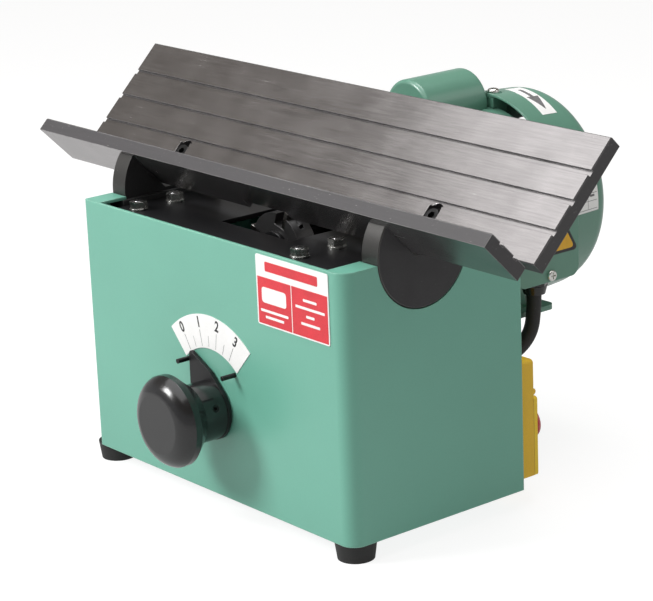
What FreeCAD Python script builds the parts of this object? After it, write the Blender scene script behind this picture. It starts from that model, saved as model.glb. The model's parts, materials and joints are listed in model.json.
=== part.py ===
import FreeCAD, Part
import math
import os

from FreeCAD import Vector

# Bench-top edge chamfering machine: a V-shaped work table over a small rotary cutter.
# Millimetres. +X runs along the table, +Y to the rear (motor side), +Z up.
# Every function places its piece about the centre of the cabinet's plan, z = 0 on the bench.
# save() then moves all of them along Y, so that the origin is under the centre of the whole machine.

# ---------------------------------------------------------------- driving dimensions
TABLE_LENGTH = 457.0
PLATE_T = 9.7
APEX_Y, APEX_Z = -8.5, 194.0          # line where the two table faces would meet
FENCE_W0, FENCE_W1 = 4.5, 95.4        # long plate, measured up its face from the apex line
SHORT_W0, SHORT_W1 = 4.3, 40.2
TABLE_ANGLE = 45.0
GROOVE_W, GROOVE_D = 3.8, 1.8
FENCE_GROOVES = (27.5, 48.8, 70.0)
SHORT_GROOVES = (15.4, 29.8)
RELIEF_HALF, RELIEF_TOP = 22.0, 14.0  # cutter relief in the plates' lower edges

CAB_W, CAB_D, CAB_H = 271.0, 144.0, 174.5
SHEET = 2.0
CORNER_LEFT, CORNER_RIGHT = 2.5, 10.0  # radii of the upright front edges
FLANGE_W = 16.3
FOOT_H, FOOT_R_LOW, FOOT_R_TOP = 12.0, 11.8, 13.5
CAB_Z0 = FOOT_H
CAB_Z1 = CAB_Z0 + CAB_H
HALF_W, HALF_D = CAB_W / 2, CAB_D / 2

TILT_Y, TILT_Z = -8.5, 189.0          # tilt axis of the table, along X
DISC_R_LEFT, DISC_R_RIGHT, DISC_T = 40.0, 36.0, 15.0
DISC_X1 = HALF_W + 0.3
DISC_X0 = DISC_X1 - DISC_T
SCREW_X = (DISC_X0 + DISC_X1) / 2
FENCE_SCREW_W, SHORT_SCREW_W = 18.8, 22.6
FENCE_TRAVEL = 4.0
CLAMP_R = 24.0                        # arc slot radius in the discs
NOTCH_FLAT = 6.6                      # half width of the notch floor in the discs
TILT_MAX = 15.0
FENCE_GAP = 0.1                       # the fence slides this far off its seat

DECK_Z0, DECK_Z1 = 178.0, 181.0
DECK_X = 117.0
POST_X, POST_Y = (-102.0, 69.0), (-51.0, -21.0)
POST_R = 6.0
BASE_Z0, BASE_Z1 = CAB_Z0 + SHEET, CAB_Z0 + SHEET + 3.0

KNOB_Z = 71.0                         # depth shaft, along Y, at x = 0
KNOB_R, KNOB_FLAT_R, KNOB_FRONT = 30.2, 19.5, 45.3
SHAFT_R = 6.0
CAM_R = 16.0
CAM_X, CAM_Z = -2.6, -1.5             # cam centre from the shaft at rest: 3 mm of throw, 30 deg low
CAM_Y0, CAM_Y1 = -30.0, -16.0
DIAL_R0, DIAL_R1, DIAL_HALF = 40.0, 62.3, 42.0
PIN_R, PIN_REACH, PIN_RING = 1.6, 10.5, 37.0
PIN_DEGS = (49.2, 128.5)              # where the pointer stops, seen from the front
POINTER_Y0, POINTER_Y1 = -75.5, -73.0
HUB_R = 19.5
KNOB_BACK = -93.0

MOTOR_Z = 164.8
SHELL_R = 63.0
MOUNT_Y0, MOUNT_Y1 = 55.0, 65.0
LIFT_Z0, LIFT_Z1 = 88.0, 96.0
BELL_Y0 = MOUNT_Y1
SHELL_Y0, SHELL_Y1 = 91.0, 170.0
CORE_Y0, CORE_Y1, CORE_R = 101.0, 157.0, 61.4
ROTOR_R = 31.0
COWL_Y0, COWL_Y1 = 171.4, 220.0
COWL_R0, COWL_R1 = 73.0, 69.6
COWL_ROUND = 12.0
LUG_ANGLES, LUG_Y, LUG_R = (90, 210, 330), 178.0, 69.7
REAR_BELL_Y1 = SHELL_Y1 + 5.2
CUT_Y0, CUT_Y1 = -15.5, -1.5
CUT_BODY_R, CUT_TIP_R = 25.0, 29.0
FOOT_PLATE_X, FOOT_PLATE_Z = 66.0, 98.1
FOOT_PLATE_T = 3.5
CAP_X, CAP_Z, CAP_R = -20.0, 229.4, 23.3
CAP_Y0, CAP_Y1 = 117.0, 171.0
BOX_X0, BOX_X1 = 50.0, 88.0
BOX_Y0, BOX_Y1, BOX_Z0, BOX_Z1 = 113.0, 169.0, 127.5, 184.0
COVER_T = 2.0
GLAND_X, GLAND_Y = 75.0, 142.0
LEAD_R = 5.0
LEAD_HOLE_X, LEAD_Z = 55.0, 66.0
LEAD_IN_X = 96.0

SWITCH_X0, SWITCH_X1, SWITCH_Z0, SWITCH_Z1 = 87.0, 129.0, 15.2, 95.2
FLAP_Z1 = 69.5
FLAP_T = 3.0
STOP_X, STOP_Z, STOP_R = 108.0, 44.0, 12.0
START_X, START_Z = 108.0, 26.5

PANEL_Y0, PANEL_Y1 = HALF_D - 4.0, HALF_D - 2.0
WINDOW_X, WINDOW_Z = 78.0, 84.0

RUN = 0.05                            # radial running clearance
GAP = 0.3                             # clearance between moving faces

Y_FRONT = -(HALF_D + KNOB_FRONT)
Y_REAR = COWL_Y1
ORIGIN_SHIFT = Vector(0, -(Y_FRONT + Y_REAR) / 2, 0)

X_AXIS, Y_AXIS, Z_AXIS = Vector(1, 0, 0), Vector(0, 1, 0), Vector(0, 0, 1)


# ---------------------------------------------------------------- shape helpers
def box(x0, x1, y0, y1, z0, z1):
    return Part.makeBox(x1 - x0, y1 - y0, z1 - z0, Vector(x0, y0, z0))


def rod_x(r, x0, x1, y, z):
    return Part.makeCylinder(r, x1 - x0, Vector(x0, y, z), X_AXIS)


def rod_y(r, y0, y1, x, z):
    return Part.makeCylinder(r, y1 - y0, Vector(x, y0, z), Y_AXIS)


def rod_z(r, z0, z1, x, y):
    return Part.makeCylinder(r, z1 - z0, Vector(x, y, z0), Z_AXIS)


def tube_y(r_out, r_in, y0, y1, x, z):
    return rod_y(r_out, y0, y1, x, z).cut(rod_y(r_in, y0 - 1, y1 + 1, x, z))


def fuse(shapes):
    """One solid from shapes that overlap."""
    shapes = list(shapes)
    result = shapes[0].multiFuse(shapes[1:]) if len(shapes) > 1 else shapes[0]
    return result.removeSplitter()


def group(shapes):
    """Separate solids that share one node."""
    return Part.makeCompound(list(shapes))


def rounded_box(x0, x1, y0, y1, z0, z1, r, axis):
    """A box whose four edges along one axis are rounded."""
    solid = box(x0, x1, y0, y1, z0, z1)
    edges = [e for e in solid.Edges if abs(e.tangentAt(e.FirstParameter).dot(axis)) > 0.99]
    return solid.makeFillet(r, edges)


def turned_y(profile, x, z):
    """Turn a closed (y, radius) outline about the Y line through x, z."""
    points = [Vector(x + r, y, z) for y, r in profile]
    face = Part.Face(Part.makePolygon(points + points[:1]))
    return face.revolve(Vector(x, 0, z), Y_AXIS, 360)


def polar(r, degrees):
    return r * math.cos(math.radians(degrees)), r * math.sin(math.radians(degrees))


def hexagon_rod(flats, length, base, axis, turn=0):
    """A hexagon bar from base along axis, measured across its flats."""
    corners = [Vector(*polar(flats / math.sqrt(3), 60 * i + turn), 0) for i in range(6)]
    bar = Part.Face(Part.makePolygon(corners + corners[:1])).extrude(Vector(0, 0, length))
    bar.Placement = FreeCAD.Placement(base, FreeCAD.Rotation(Z_AXIS, axis))
    return bar


def on_fence(solid):
    """Tip a flat layout (face up, width along +Y from the apex line) onto the rear face of the V."""
    solid.rotate(Vector(0, 0, 0), X_AXIS, TABLE_ANGLE)
    solid.translate(Vector(0, APEX_Y, APEX_Z))
    return solid


def on_short(solid):
    """Tip a flat layout (face up, width along -Y from the apex line) onto the front face of the V."""
    solid.rotate(Vector(0, 0, 0), X_AXIS, -TABLE_ANGLE)
    solid.translate(Vector(0, APEX_Y, APEX_Z))
    return solid


def socket_screw(r, head_r, head_h, length, base, axis, socket=True):
    """A cap screw: base is the underside of its head and axis points down the shank."""
    head = Part.makeCylinder(head_r, head_h, base, -axis)
    if socket:
        depth = head_h * 0.55
        top = base - axis * head_h
        head = head.cut(hexagon_rod(head_r, depth, top, axis))
    shank = Part.makeCylinder(r, length, base - axis * 0.5, axis)
    return fuse([head, shank])


def cross_screw(r, head_r, head_h, length, base, axis):
    """A pan-head screw with a cross recess: base is the underside of its head."""
    top = base - axis * head_h
    head = Part.makeCylinder(head_r, head_h, top, axis)
    rim = [e for e in head.Edges if e.Length > 1 and (e.CenterOfMass - top).Length < 0.01]
    head = head.makeFillet(head_h * 0.55, rim)
    for turn in (0, 90):
        slot = Part.makeBox(head_r * 1.2, head_r * 0.3, head_h, Vector(-head_r * 0.6, -head_r * 0.15, 0))
        slot.rotate(Vector(0, 0, 0), Z_AXIS, turn)
        slot.Placement = FreeCAD.Placement(top, FreeCAD.Rotation(Z_AXIS, axis)).multiply(slot.Placement)
        slot.translate(axis * (-head_h * 0.45))
        head = head.cut(slot)
    shank = Part.makeCylinder(r, length + 0.3, base - axis * 0.3, axis)
    return fuse([head, shank])


def tilt_cylinder(r, x0, x1):
    return rod_x(r, x0, x1, TILT_Y, TILT_Z)


def mirrored(solid):
    return solid.mirror(Vector(0, 0, 0), X_AXIS)


def sides(x0, x1, y0, y1, z0, z1):
    """The same box at the right and at the left of the machine."""
    return [box(x0, x1, y0, y1, z0, z1), box(-x1, -x0, y0, y1, z0, z1)]


def front_rounded(solid, y, r_left, r_right):
    """Round the two upright edges that stand at the front, at depth y."""
    for side, r in ((-1, r_left), (1, r_right)):
        edges = [e for e in solid.Edges
                 if abs(e.tangentAt(e.FirstParameter).z) > 0.99
                 and abs(e.CenterOfMass.y - y) < 0.1
                 and e.CenterOfMass.x * side > HALF_W / 2]
        solid = solid.makeFillet(r, edges)
    return solid


def arc_slot_x(r, half, deg0, deg1, x0, x1):
    """A round-ended slot along an arc about the tilt axis, cut through from x0 to x1."""
    ring = tilt_cylinder(r + half, x0, x1).cut(tilt_cylinder(r - half, x0 - 1, x1 + 1))
    reach = 2 * (r + half)
    corners = [Vector(x0, TILT_Y, TILT_Z)]
    for i in range(5):
        y, z = polar(reach, deg0 + (deg1 - deg0) * i / 4)
        corners.append(Vector(x0, TILT_Y + y, TILT_Z + z))
    wedge = Part.Face(Part.makePolygon(corners + corners[:1])).extrude(Vector(x1 - x0, 0, 0))
    ends = []
    for deg in (deg0, deg1):
        y, z = polar(r, deg)
        ends.append(rod_x(half, x0, x1, TILT_Y + y, TILT_Z + z))
    return fuse([ring.common(wedge)] + ends)


def flat_slot(x, w0, w1, half, z0, z1):
    """A round-ended slot along the width of a flat plate."""
    return fuse([box(x - half, x + half, w0 + half, w1 - half, z0, z1),
                 rod_z(half, z0, z1, x, w0 + half), rod_z(half, z0, z1, x, w1 - half)])


# ---------------------------------------------------------------- cabinet
BOTTOM_FLANGE, FRONT_FLANGE = 22.0, 14.0
LUG_X0, LUG_X1, LUG_Z, LUG_H = 119.5, HALF_W - SHEET, 150.0, 7.0
PANEL_SCREWS = [(-126.5, LUG_Z), (126.5, LUG_Z), (-100.0, 25.0), (70.0, 25.0)]
SCREW_R, SCREW_HEAD_R, SCREW_HEAD_H = 2.0, 3.8, 2.4
REAR_FLANGE_Y = 44.0
FEET = [(-129.0, -57.5), (122.0, -58.5), (-91.0, 58.5), (91.0, 58.5)]    # foot screws
FOOT_SHIFTS = (-6.0, 0.0, 0.0, 0.0)   # each foot's centre from its screw, along X
FOOT_RECESS_R = 5.0
POSTS = [(x, y) for x in POST_X for y in POST_Y]
BLOCK_SCREWS = [(-14.0, 2.0), (14.0, 2.0)]
FRONT = -HALF_D


def cabinet_shell():
    outer = box(-HALF_W, HALF_W, FRONT, HALF_D, CAB_Z0, CAB_Z1)
    outer = front_rounded(outer, FRONT, CORNER_LEFT, CORNER_RIGHT)
    inner = box(-HALF_W + SHEET, HALF_W - SHEET, FRONT + SHEET, HALF_D + 1, CAB_Z0 - 1, CAB_Z1 + 1)
    walls = outer.cut(front_rounded(inner, FRONT + SHEET, CORNER_LEFT - SHEET, CORNER_RIGHT - SHEET))
    flanges = sides(HALF_W - FLANGE_W, HALF_W, FRONT, HALF_D, CAB_Z1 - SHEET, CAB_Z1)
    flanges += sides(HALF_W - BOTTOM_FLANGE, HALF_W, FRONT, HALF_D, CAB_Z0, CAB_Z0 + SHEET)
    flanges.append(box(-HALF_W, HALF_W, FRONT, FRONT + FRONT_FLANGE, CAB_Z0, CAB_Z0 + SHEET))
    flanges.append(box(-HALF_W, HALF_W, REAR_FLANGE_Y, HALF_D, CAB_Z0, CAB_Z0 + SHEET))
    lugs = sides(LUG_X0, LUG_X1, PANEL_Y0 - SHEET, PANEL_Y0, LUG_Z - LUG_H, LUG_Z + LUG_H)
    shell = fuse([walls] + [f.common(outer) for f in flanges] + lugs)
    shell = shell.cut(tilt_cylinder(DISC_R_RIGHT + 0.4, 0, HALF_W + 1))
    shell = shell.cut(tilt_cylinder(DISC_R_LEFT + 0.4, -HALF_W - 1, 0))
    cutters = [rod_y(8.0, FRONT - 1, FRONT + 5, 0, KNOB_Z)]
    cutters += [rod_y(SCREW_R, PANEL_Y0 - 5, PANEL_Y0 + 1, x, z) for x, z in PANEL_SCREWS[:2]]
    cutters += [rod_z(2.5, CAB_Z0 - 1, CAB_Z0 + 3, x, y) for x, y in FEET]
    for deg in PIN_DEGS:
        x, z = polar(PIN_RING, deg)
        cutters.append(rod_y(PIN_R, FRONT - 1, FRONT + 5, x, KNOB_Z + z))
    return shell.cut(group(cutters))


def base_plate():
    inner_x, inner_y = HALF_W - SHEET, FRONT + SHEET
    plate = box(-inner_x, inner_x, inner_y, PANEL_Y0, BASE_Z0, BASE_Z1)
    plate = front_rounded(plate, inner_y, CORNER_LEFT - SHEET, CORNER_RIGHT - SHEET)
    rear_flange = box(-115, 82, PANEL_Y0 - 3, PANEL_Y0, BASE_Z0, BASE_Z1 + 16)
    plate = fuse([plate, rear_flange])
    cutters = [rod_z(2.5, BASE_Z0 - 1, BASE_Z1 + 1, x, y) for x, y in FEET]
    cutters += [rod_z(3.0, BASE_Z0 - 1, BASE_Z1 + 1, x, y) for x, y in POSTS + BLOCK_SCREWS]
    cutters += [rod_y(SCREW_R, PANEL_Y0 - 5, PANEL_Y0 + 1, x, z) for x, z in PANEL_SCREWS[2:]]
    return plate.cut(group(cutters))


def rubber_feet():
    feet = []
    for (x, y), shift in zip(FEET, FOOT_SHIFTS):
        foot = Part.makeCone(FOOT_R_LOW, FOOT_R_TOP, FOOT_H, Vector(x + shift, y, 0))
        foot = foot.cut(rod_z(FOOT_RECESS_R, -1, 5.0, x, y)).cut(rod_z(2.5, 4, FOOT_H + 1, x, y))
        feet.append(foot)
    return group(feet)


def frame_screws():
    """Foot screws with their nuts, and the socket screws that hold posts, block and saddles."""
    screws = []
    for x, y in FEET:
        screws.append(cross_screw(2.5, 4.6, 2.4, 16.0, Vector(x, y, 5.0), Z_AXIS))
        nut = hexagon_rod(8.0, 4.0, Vector(x, y, BASE_Z1), Z_AXIS, 30)
        screws.append(nut.cut(rod_z(2.5, BASE_Z1 - 1, BASE_Z1 + 9, x, y)))
    for x, y in POSTS + BLOCK_SCREWS:
        screws.append(socket_screw(3.0, 5.0, 3.5, 13.0, Vector(x, y, BASE_Z0), Z_AXIS))
    for sign in (-1, 1):
        for y, z in SADDLE_SCREWS:
            base = Vector(sign * (DECK_X - 3.0), y, z)
            screws.append(socket_screw(3.0, 5.0, 5.0, 16.0, base, X_AXIS * sign))
    return group(screws)


# ---------------------------------------------------------------- rear panel and switch
def lead_holes(r, y0, y1):
    return [rod_y(r, y0, y1, x, LEAD_Z) for x in (LEAD_HOLE_X, LEAD_IN_X)]


MAINS_X, MAINS_Z = 20.0, 58.0
SWITCH_SCREWS = [(108.0, 84.0), (108.0, 60.0)]
SWITCH_Y0 = PANEL_Y1
SWITCH_FACE = SWITCH_Y0 + 18.0
HINGE_Y, HINGE_Z, HINGE_R = SWITCH_FACE + 2.6, FLAP_Z1 + 2.5, 2.2


def rear_panel():
    inner_x = HALF_W - SHEET
    panel = box(-inner_x, inner_x, PANEL_Y0, PANEL_Y1, BASE_Z0, CAB_Z1 - SHEET)
    cutters = [box(-WINDOW_X, WINDOW_X, PANEL_Y0 - 1, PANEL_Y1 + 1, WINDOW_Z, CAB_Z1)]
    cutters += [rod_y(SCREW_R, PANEL_Y0 - 1, PANEL_Y1 + 1, x, z) for x, z in PANEL_SCREWS + SWITCH_SCREWS]
    cutters += lead_holes(8.0, PANEL_Y0 - 1, PANEL_Y1 + 1)
    cutters.append(rod_y(8.0, PANEL_Y0 - 1, PANEL_Y1 + 1, MAINS_X, MAINS_Z))
    return panel.cut(group(cutters))


def panel_screws():
    screws = [cross_screw(SCREW_R, SCREW_HEAD_R, SCREW_HEAD_H, 6.0, Vector(x, PANEL_Y1, z), -Y_AXIS)
              for x, z in PANEL_SCREWS]
    x, z = SWITCH_SCREWS[0]
    screws.append(cross_screw(SCREW_R, SCREW_HEAD_R, SCREW_HEAD_H, 22.0, Vector(x, SWITCH_FACE, z), -Y_AXIS))
    x, z = SWITCH_SCREWS[1]
    recessed = Vector(x, SWITCH_FACE - 4.0, z)
    screws.append(cross_screw(SCREW_R, SCREW_HEAD_R, SCREW_HEAD_H, 18.0, recessed, -Y_AXIS))
    return group(screws)


def lead_grommets():
    """Rubber grommets where the motor lead passes the rear panel."""
    rings = []
    profile = [(-2.5, 5.3), (-2.5, 11.0), (0, 11.0), (0, 8.0), (SHEET, 8.0), (SHEET, 11.0),
               (SHEET + 2.5, 11.0), (SHEET + 2.5, 5.3)]
    for x in (LEAD_HOLE_X, LEAD_IN_X):
        rear = profile if x == LEAD_HOLE_X else profile[:4] + [(SHEET, 8.0), (SHEET, 5.3)]
        rings.append(turned_y([(PANEL_Y0 + y, r) for y, r in rear], x, LEAD_Z))
    return group(rings)


def mains_gland():
    """The inlet gland for the supply cord, with its lock nut inside the panel."""
    profile = [(PANEL_Y0 - 7, 4.5), (PANEL_Y0 - 7, 8.0), (PANEL_Y1, 8.0), (PANEL_Y1, 11.5),
               (PANEL_Y1 + 4, 11.5), (PANEL_Y1 + 4, 10.0), (PANEL_Y1 + 14, 8.5), (PANEL_Y1 + 14, 4.5)]
    body = turned_y(profile, MAINS_X, MAINS_Z)
    nut = hexagon_rod(21.0, 5.0, Vector(MAINS_X, PANEL_Y0 - 5, MAINS_Z), Y_AXIS)
    return group([body, nut.cut(rod_y(8.0, PANEL_Y0 - 9, PANEL_Y0 + 1, MAINS_X, MAINS_Z))])


def switch_base():
    """The yellow switch housing, with the two hinge knuckles and the pin of its flap."""
    x0, x1, z0, z1 = SWITCH_X0, SWITCH_X1, SWITCH_Z0, SWITCH_Z1
    body = rounded_box(x0, x1, SWITCH_Y0, SWITCH_FACE, z0, z1, 2.5, Y_AXIS)
    body = body.cut(box(x0 + 2, x1 - 2, SWITCH_Y0 + 2, SWITCH_FACE - 2, z0 + 2, z1 - 2))
    pillars = [rod_y(5.0, SWITCH_Y0 + 1, SWITCH_FACE - 1, x, z) for x, z in SWITCH_SCREWS]
    body = fuse([body] + pillars)
    cutters = [rod_y(SCREW_R, SWITCH_Y0 - 1, SWITCH_FACE + 1, x, z) for x, z in SWITCH_SCREWS]
    x, z = SWITCH_SCREWS[1]
    cutters.append(rod_y(4.2, SWITCH_FACE - 4, SWITCH_FACE + 1, x, z))
    cutters.append(rod_y(8.0, SWITCH_Y0 - 1, SWITCH_Y0 + 3, LEAD_IN_X, LEAD_Z))
    cutters.append(rod_y(6.0, SWITCH_FACE - 3, SWITCH_FACE + 1, STOP_X, STOP_Z))
    cutters.append(rod_y(7.0 + GAP, SWITCH_FACE - 3, SWITCH_FACE + 1, START_X, START_Z))
    body = body.cut(group(cutters))
    knuckles = []
    for a, b in ((x0 + 3, x0 + 8), (x1 - 8, x1 - 3)):
        knuckles.append(rod_x(HINGE_R, a, b, HINGE_Y, HINGE_Z))
        knuckles.append(box(a, b, SWITCH_FACE - 0.5, HINGE_Y, HINGE_Z - 1.4, HINGE_Z + 1.8))
    return fuse([body, rod_x(1.2, x0 + 3, x1 - 3, HINGE_Y, HINGE_Z)] + knuckles)


def contact_block():
    y0 = SWITCH_Y0 + 2
    block = box(92, 124, y0, y0 + 4, 19, 53)
    posts = [box(x - 2.5, x + 2.5, y0 + 3, y0 + 6, 47.5, 52) for x in (96, 120)]
    return fuse([block] + posts)


def start_button():
    y1 = SWITCH_FACE - 0.4
    profile = [(y1 - 8, 0), (y1 - 8, 7.0), (y1 - 4.6, 7.0), (y1 - 4.6, 8.6), (y1 - 2.0, 8.6), (y1 - 2.0, 7.0),
               (y1 - 0.6, 7.0), (y1, 6.4), (y1, 0)]
    return turned_y(profile, START_X, START_Z)


def switch_flap():
    x0, x1 = SWITCH_X0, SWITCH_X1
    y0 = SWITCH_FACE + GAP
    flap = rounded_box(x0, x1, y0, y0 + FLAP_T, SWITCH_Z0 + 0.3, FLAP_Z1, 2.0, Y_AXIS)
    boss = rod_y(9.0, y0 + 1, y0 + FLAP_T + 1.2, STOP_X, STOP_Z)
    neck = box(x0 + 8.3, x1 - 8.3, y0, y0 + FLAP_T, FLAP_Z1 - 1, HINGE_Z)
    barrel = rod_x(HINGE_R, x0 + 8.3, x1 - 8.3, HINGE_Y, HINGE_Z)
    flap = fuse([flap, boss, neck, barrel])
    flap = flap.cut(rod_x(1.2 + RUN, x0, x1, HINGE_Y, HINGE_Z))
    return flap.cut(rod_y(3.0 + RUN, y0 - 1, y0 + 9, STOP_X, STOP_Z))


def stop_button():
    """The red mushroom button that presses through the flap."""
    back = SWITCH_FACE + GAP + FLAP_T + 1.2 + 2.8
    top = SWITCH_FACE + 18.0
    profile = [(back, 0), (back, STOP_R - 1.0), (back + 1.0, STOP_R), (top - 4.5, STOP_R),
               (top - 2.0, STOP_R - 1.2), (top - 0.6, STOP_R - 4.0), (top, STOP_R - 8.0), (top, 0)]
    head = turned_y(profile, STOP_X, STOP_Z)
    stem = rod_y(3.0, SWITCH_FACE - 7, back + 1, STOP_X, STOP_Z)
    clip = rod_y(4.4, SWITCH_FACE - 1.6, SWITCH_FACE - 0.2, STOP_X, STOP_Z)
    return fuse([head, stem, clip])


# ---------------------------------------------------------------- deck, posts and saddles
SADDLE_Y0, SADDLE_Y1, SADDLE_Z0 = -52.5, 35.5, 144.0
SADDLE_SCREWS = [(-38.0, 156.0), (21.0, 156.0)]
CLAMP_Z = TILT_Z - CLAMP_R
NUT_R = 6.0
LIP_X = DISC_X0 + 3.2


def deck_plate():
    """The deck with a window for the cutter, and the two side flanges welded under it."""
    plate = box(-DECK_X, DECK_X, -68.0, 53.0, DECK_Z0, DECK_Z1)
    cutters = [rounded_box(-36, 36, -32, 14, DECK_Z0 - 1, DECK_Z1 + 1, 1.0, Z_AXIS)]
    cutters += [rod_z(3.0, DECK_Z0 - 1, DECK_Z1 + 1, x, y) for x, y in POSTS]
    holes = [rod_x(3.0, -DECK_X - 1, DECK_X + 1, y, z) for y, z in SADDLE_SCREWS]
    holes.append(rod_x(4.0, -DECK_X - 1, DECK_X + 1, TILT_Y, CLAMP_Z))
    flanges = sides(DECK_X - 3, DECK_X, -44.0, 27.0, 148.0, DECK_Z0)
    return group([plate.cut(group(cutters))] + [flange.cut(group(holes)) for flange in flanges])


def guide_posts():
    posts = []
    for x, y in POSTS:
        post = fuse([rod_z(POST_R, BASE_Z1, DECK_Z0, x, y), rod_z(3.0, DECK_Z0 - 1, DECK_Z1 + 6.3, x, y)])
        posts.append(post.cut(rod_z(3.0, BASE_Z1 - 1, BASE_Z1 + 14, x, y)))
    return group(posts)


def deck_nuts():
    """A washer and a nut on each post."""
    pieces = []
    for x, y in POSTS:
        washer = rod_z(6.3, DECK_Z1, DECK_Z1 + 1.4, x, y)
        nut = hexagon_rod(10.0, 4.6, Vector(x, y, DECK_Z1 + 1.4), Z_AXIS)
        bore = rod_z(3.0, DECK_Z1 - 1, DECK_Z1 + 9, x, y)
        pieces += [washer.cut(bore), nut.cut(bore)]
    return group(pieces)


def saddle_blocks():
    blocks = []
    for sign, disc_r in ((1, DISC_R_RIGHT), (-1, DISC_R_LEFT)):
        block = box(DECK_X, HALF_W - SHEET, SADDLE_Y0, SADDLE_Y1, SADDLE_Z0, CAB_Z1 - SHEET)
        block = block.cut(tilt_cylinder(disc_r + GAP, DISC_X0 - GAP, HALF_W + 5))
        holes = [rod_x(3.0, DECK_X - 1, DECK_X + 13, y, z) for y, z in SADDLE_SCREWS]
        holes.append(rod_x(4.0, DECK_X - 1, HALF_W, TILT_Y, CLAMP_Z))
        block = block.cut(group(holes))
        blocks.append(block if sign > 0 else mirrored(block))
    return group(blocks)


def tilt_clamps():
    """A bolt, a washer and a round nut at each end; the nut runs in the disc's T slot."""
    pieces = []
    head_x = DECK_X - 3.0
    for sign in (1, -1):
        washer = rod_x(9.0, head_x - 2, head_x, TILT_Y, CLAMP_Z).cut(rod_x(4.0, 100, 120, TILT_Y, CLAMP_Z))
        head = hexagon_rod(13.0, 6.0, Vector(head_x - 8, TILT_Y, CLAMP_Z), X_AXIS)
        bolt = fuse([head, rod_x(4.0, head_x - 3, LIP_X + 6.0, TILT_Y, CLAMP_Z)])
        nut = rod_x(NUT_R, LIP_X + GAP, LIP_X + 5.7, TILT_Y, CLAMP_Z)
        nut = nut.cut(rod_x(4.0, LIP_X - 1, LIP_X + 9, TILT_Y, CLAMP_Z))
        trio = [washer, bolt, nut]
        pieces += trio if sign > 0 else [mirrored(piece) for piece in trio]
    return group(pieces)


# ---------------------------------------------------------------- table
def trunnion(sign, disc_r):
    """An end disc: a T slot on its inner face and a flat-bottomed V notch that carries both plates."""
    disc = tilt_cylinder(disc_r, DISC_X0, DISC_X1)
    rim = [e for e in disc.Edges if e.Length > 100 and e.CenterOfMass.x > DISC_X1 - 0.1]
    disc = disc.makeChamfer(0.8, rim)
    c = math.sqrt(0.5)
    low_y = APEX_Y + c * FENCE_GAP
    low_z = APEX_Z - c * (2 * PLATE_T + FENCE_GAP)
    corners = [Vector(DISC_X0 - 1, low_y + y, low_z + abs(y)) for y in (-NOTCH_FLAT, NOTCH_FLAT, 80.0, -80.0)]
    notch = Part.Face(Part.makePolygon(corners + corners[:1])).extrude(Vector(DISC_T + 2, 0, 0))
    disc = disc.cut(notch)
    first = 270 - TILT_MAX - 3
    entry = first - 18
    disc = disc.cut(arc_slot_x(CLAMP_R, 4.4, entry, 273, DISC_X0 - 1, LIP_X + 1))
    disc = disc.cut(arc_slot_x(CLAMP_R, NUT_R + 0.35, entry, 273, LIP_X, LIP_X + 6.2))
    y, z = polar(CLAMP_R, entry)
    disc = disc.cut(rod_x(NUT_R + 0.35, DISC_X0 - 1, LIP_X + 1, TILT_Y + y, TILT_Z + z))
    screws = [on_fence(rod_z(3.0, -PLATE_T - 13.6, 0, SCREW_X, FENCE_SCREW_W)),
              on_short(rod_z(3.0, -PLATE_T - 13.6, 0, SCREW_X, -SHORT_SCREW_W))]
    disc = disc.cut(group(screws))
    return disc if sign > 0 else mirrored(disc)


def flat_plate(w0, w1, grooves, relief):
    """A table plate laid flat: face up at z = 0, w measured along +Y."""
    half = TABLE_LENGTH / 2
    plate = box(-half, half, w0, w1, -PLATE_T, 0)
    plate = plate.makeChamfer(0.6, [e for e in plate.Edges if e.CenterOfMass.z > -0.01])
    cutters = [box(-half - 1, half + 1, w - GROOVE_W / 2, w + GROOVE_W / 2, -GROOVE_D, 1) for w in grooves]
    cutters.append(box(-RELIEF_HALF, RELIEF_HALF, w0 - 1, relief, -PLATE_T - 1, 1))
    return plate.cut(group(cutters))


def fence_plate():
    plate = flat_plate(FENCE_W0, FENCE_W1, FENCE_GROOVES, RELIEF_TOP)
    w0, w1 = FENCE_SCREW_W - FENCE_TRAVEL, FENCE_SCREW_W + FENCE_TRAVEL
    for x in (-SCREW_X, SCREW_X):
        plate = plate.cut(flat_slot(x, w0 - 5.5, w1 + 5.5, 5.5, -6.5, 1))
        plate = plate.cut(flat_slot(x, w0 - 3.4, w1 + 3.4, 3.4, -PLATE_T - 1, -6))
    return on_fence(plate)


def short_plate():
    plate = flat_plate(SHORT_W0, SHORT_W1, SHORT_GROOVES, RELIEF_TOP - 2)
    for x in (-SCREW_X, SCREW_X):
        plate = plate.cut(rod_z(5.5, -6.5, 1, x, SHORT_SCREW_W))
        plate = plate.cut(rod_z(3.0, -PLATE_T - 1, 0, x, SHORT_SCREW_W))
    plate = plate.mirror(Vector(0, 0, 0), Y_AXIS)
    return on_short(plate)


def plate_screws():
    """The four socket screws that hold the two plates on the discs."""
    screws = []
    for x in (-SCREW_X, SCREW_X):
        screw = socket_screw(3.0, 5.0, 6.0, 16.0, Vector(x, FENCE_SCREW_W, -6.5 + FENCE_GAP), -Z_AXIS)
        screws.append(on_fence(screw))
        screw = socket_screw(3.0, 5.0, 6.0, 16.0, Vector(x, -SHORT_SCREW_W, -6.5), -Z_AXIS)
        screws.append(on_short(screw))
    return group(screws)


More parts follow.
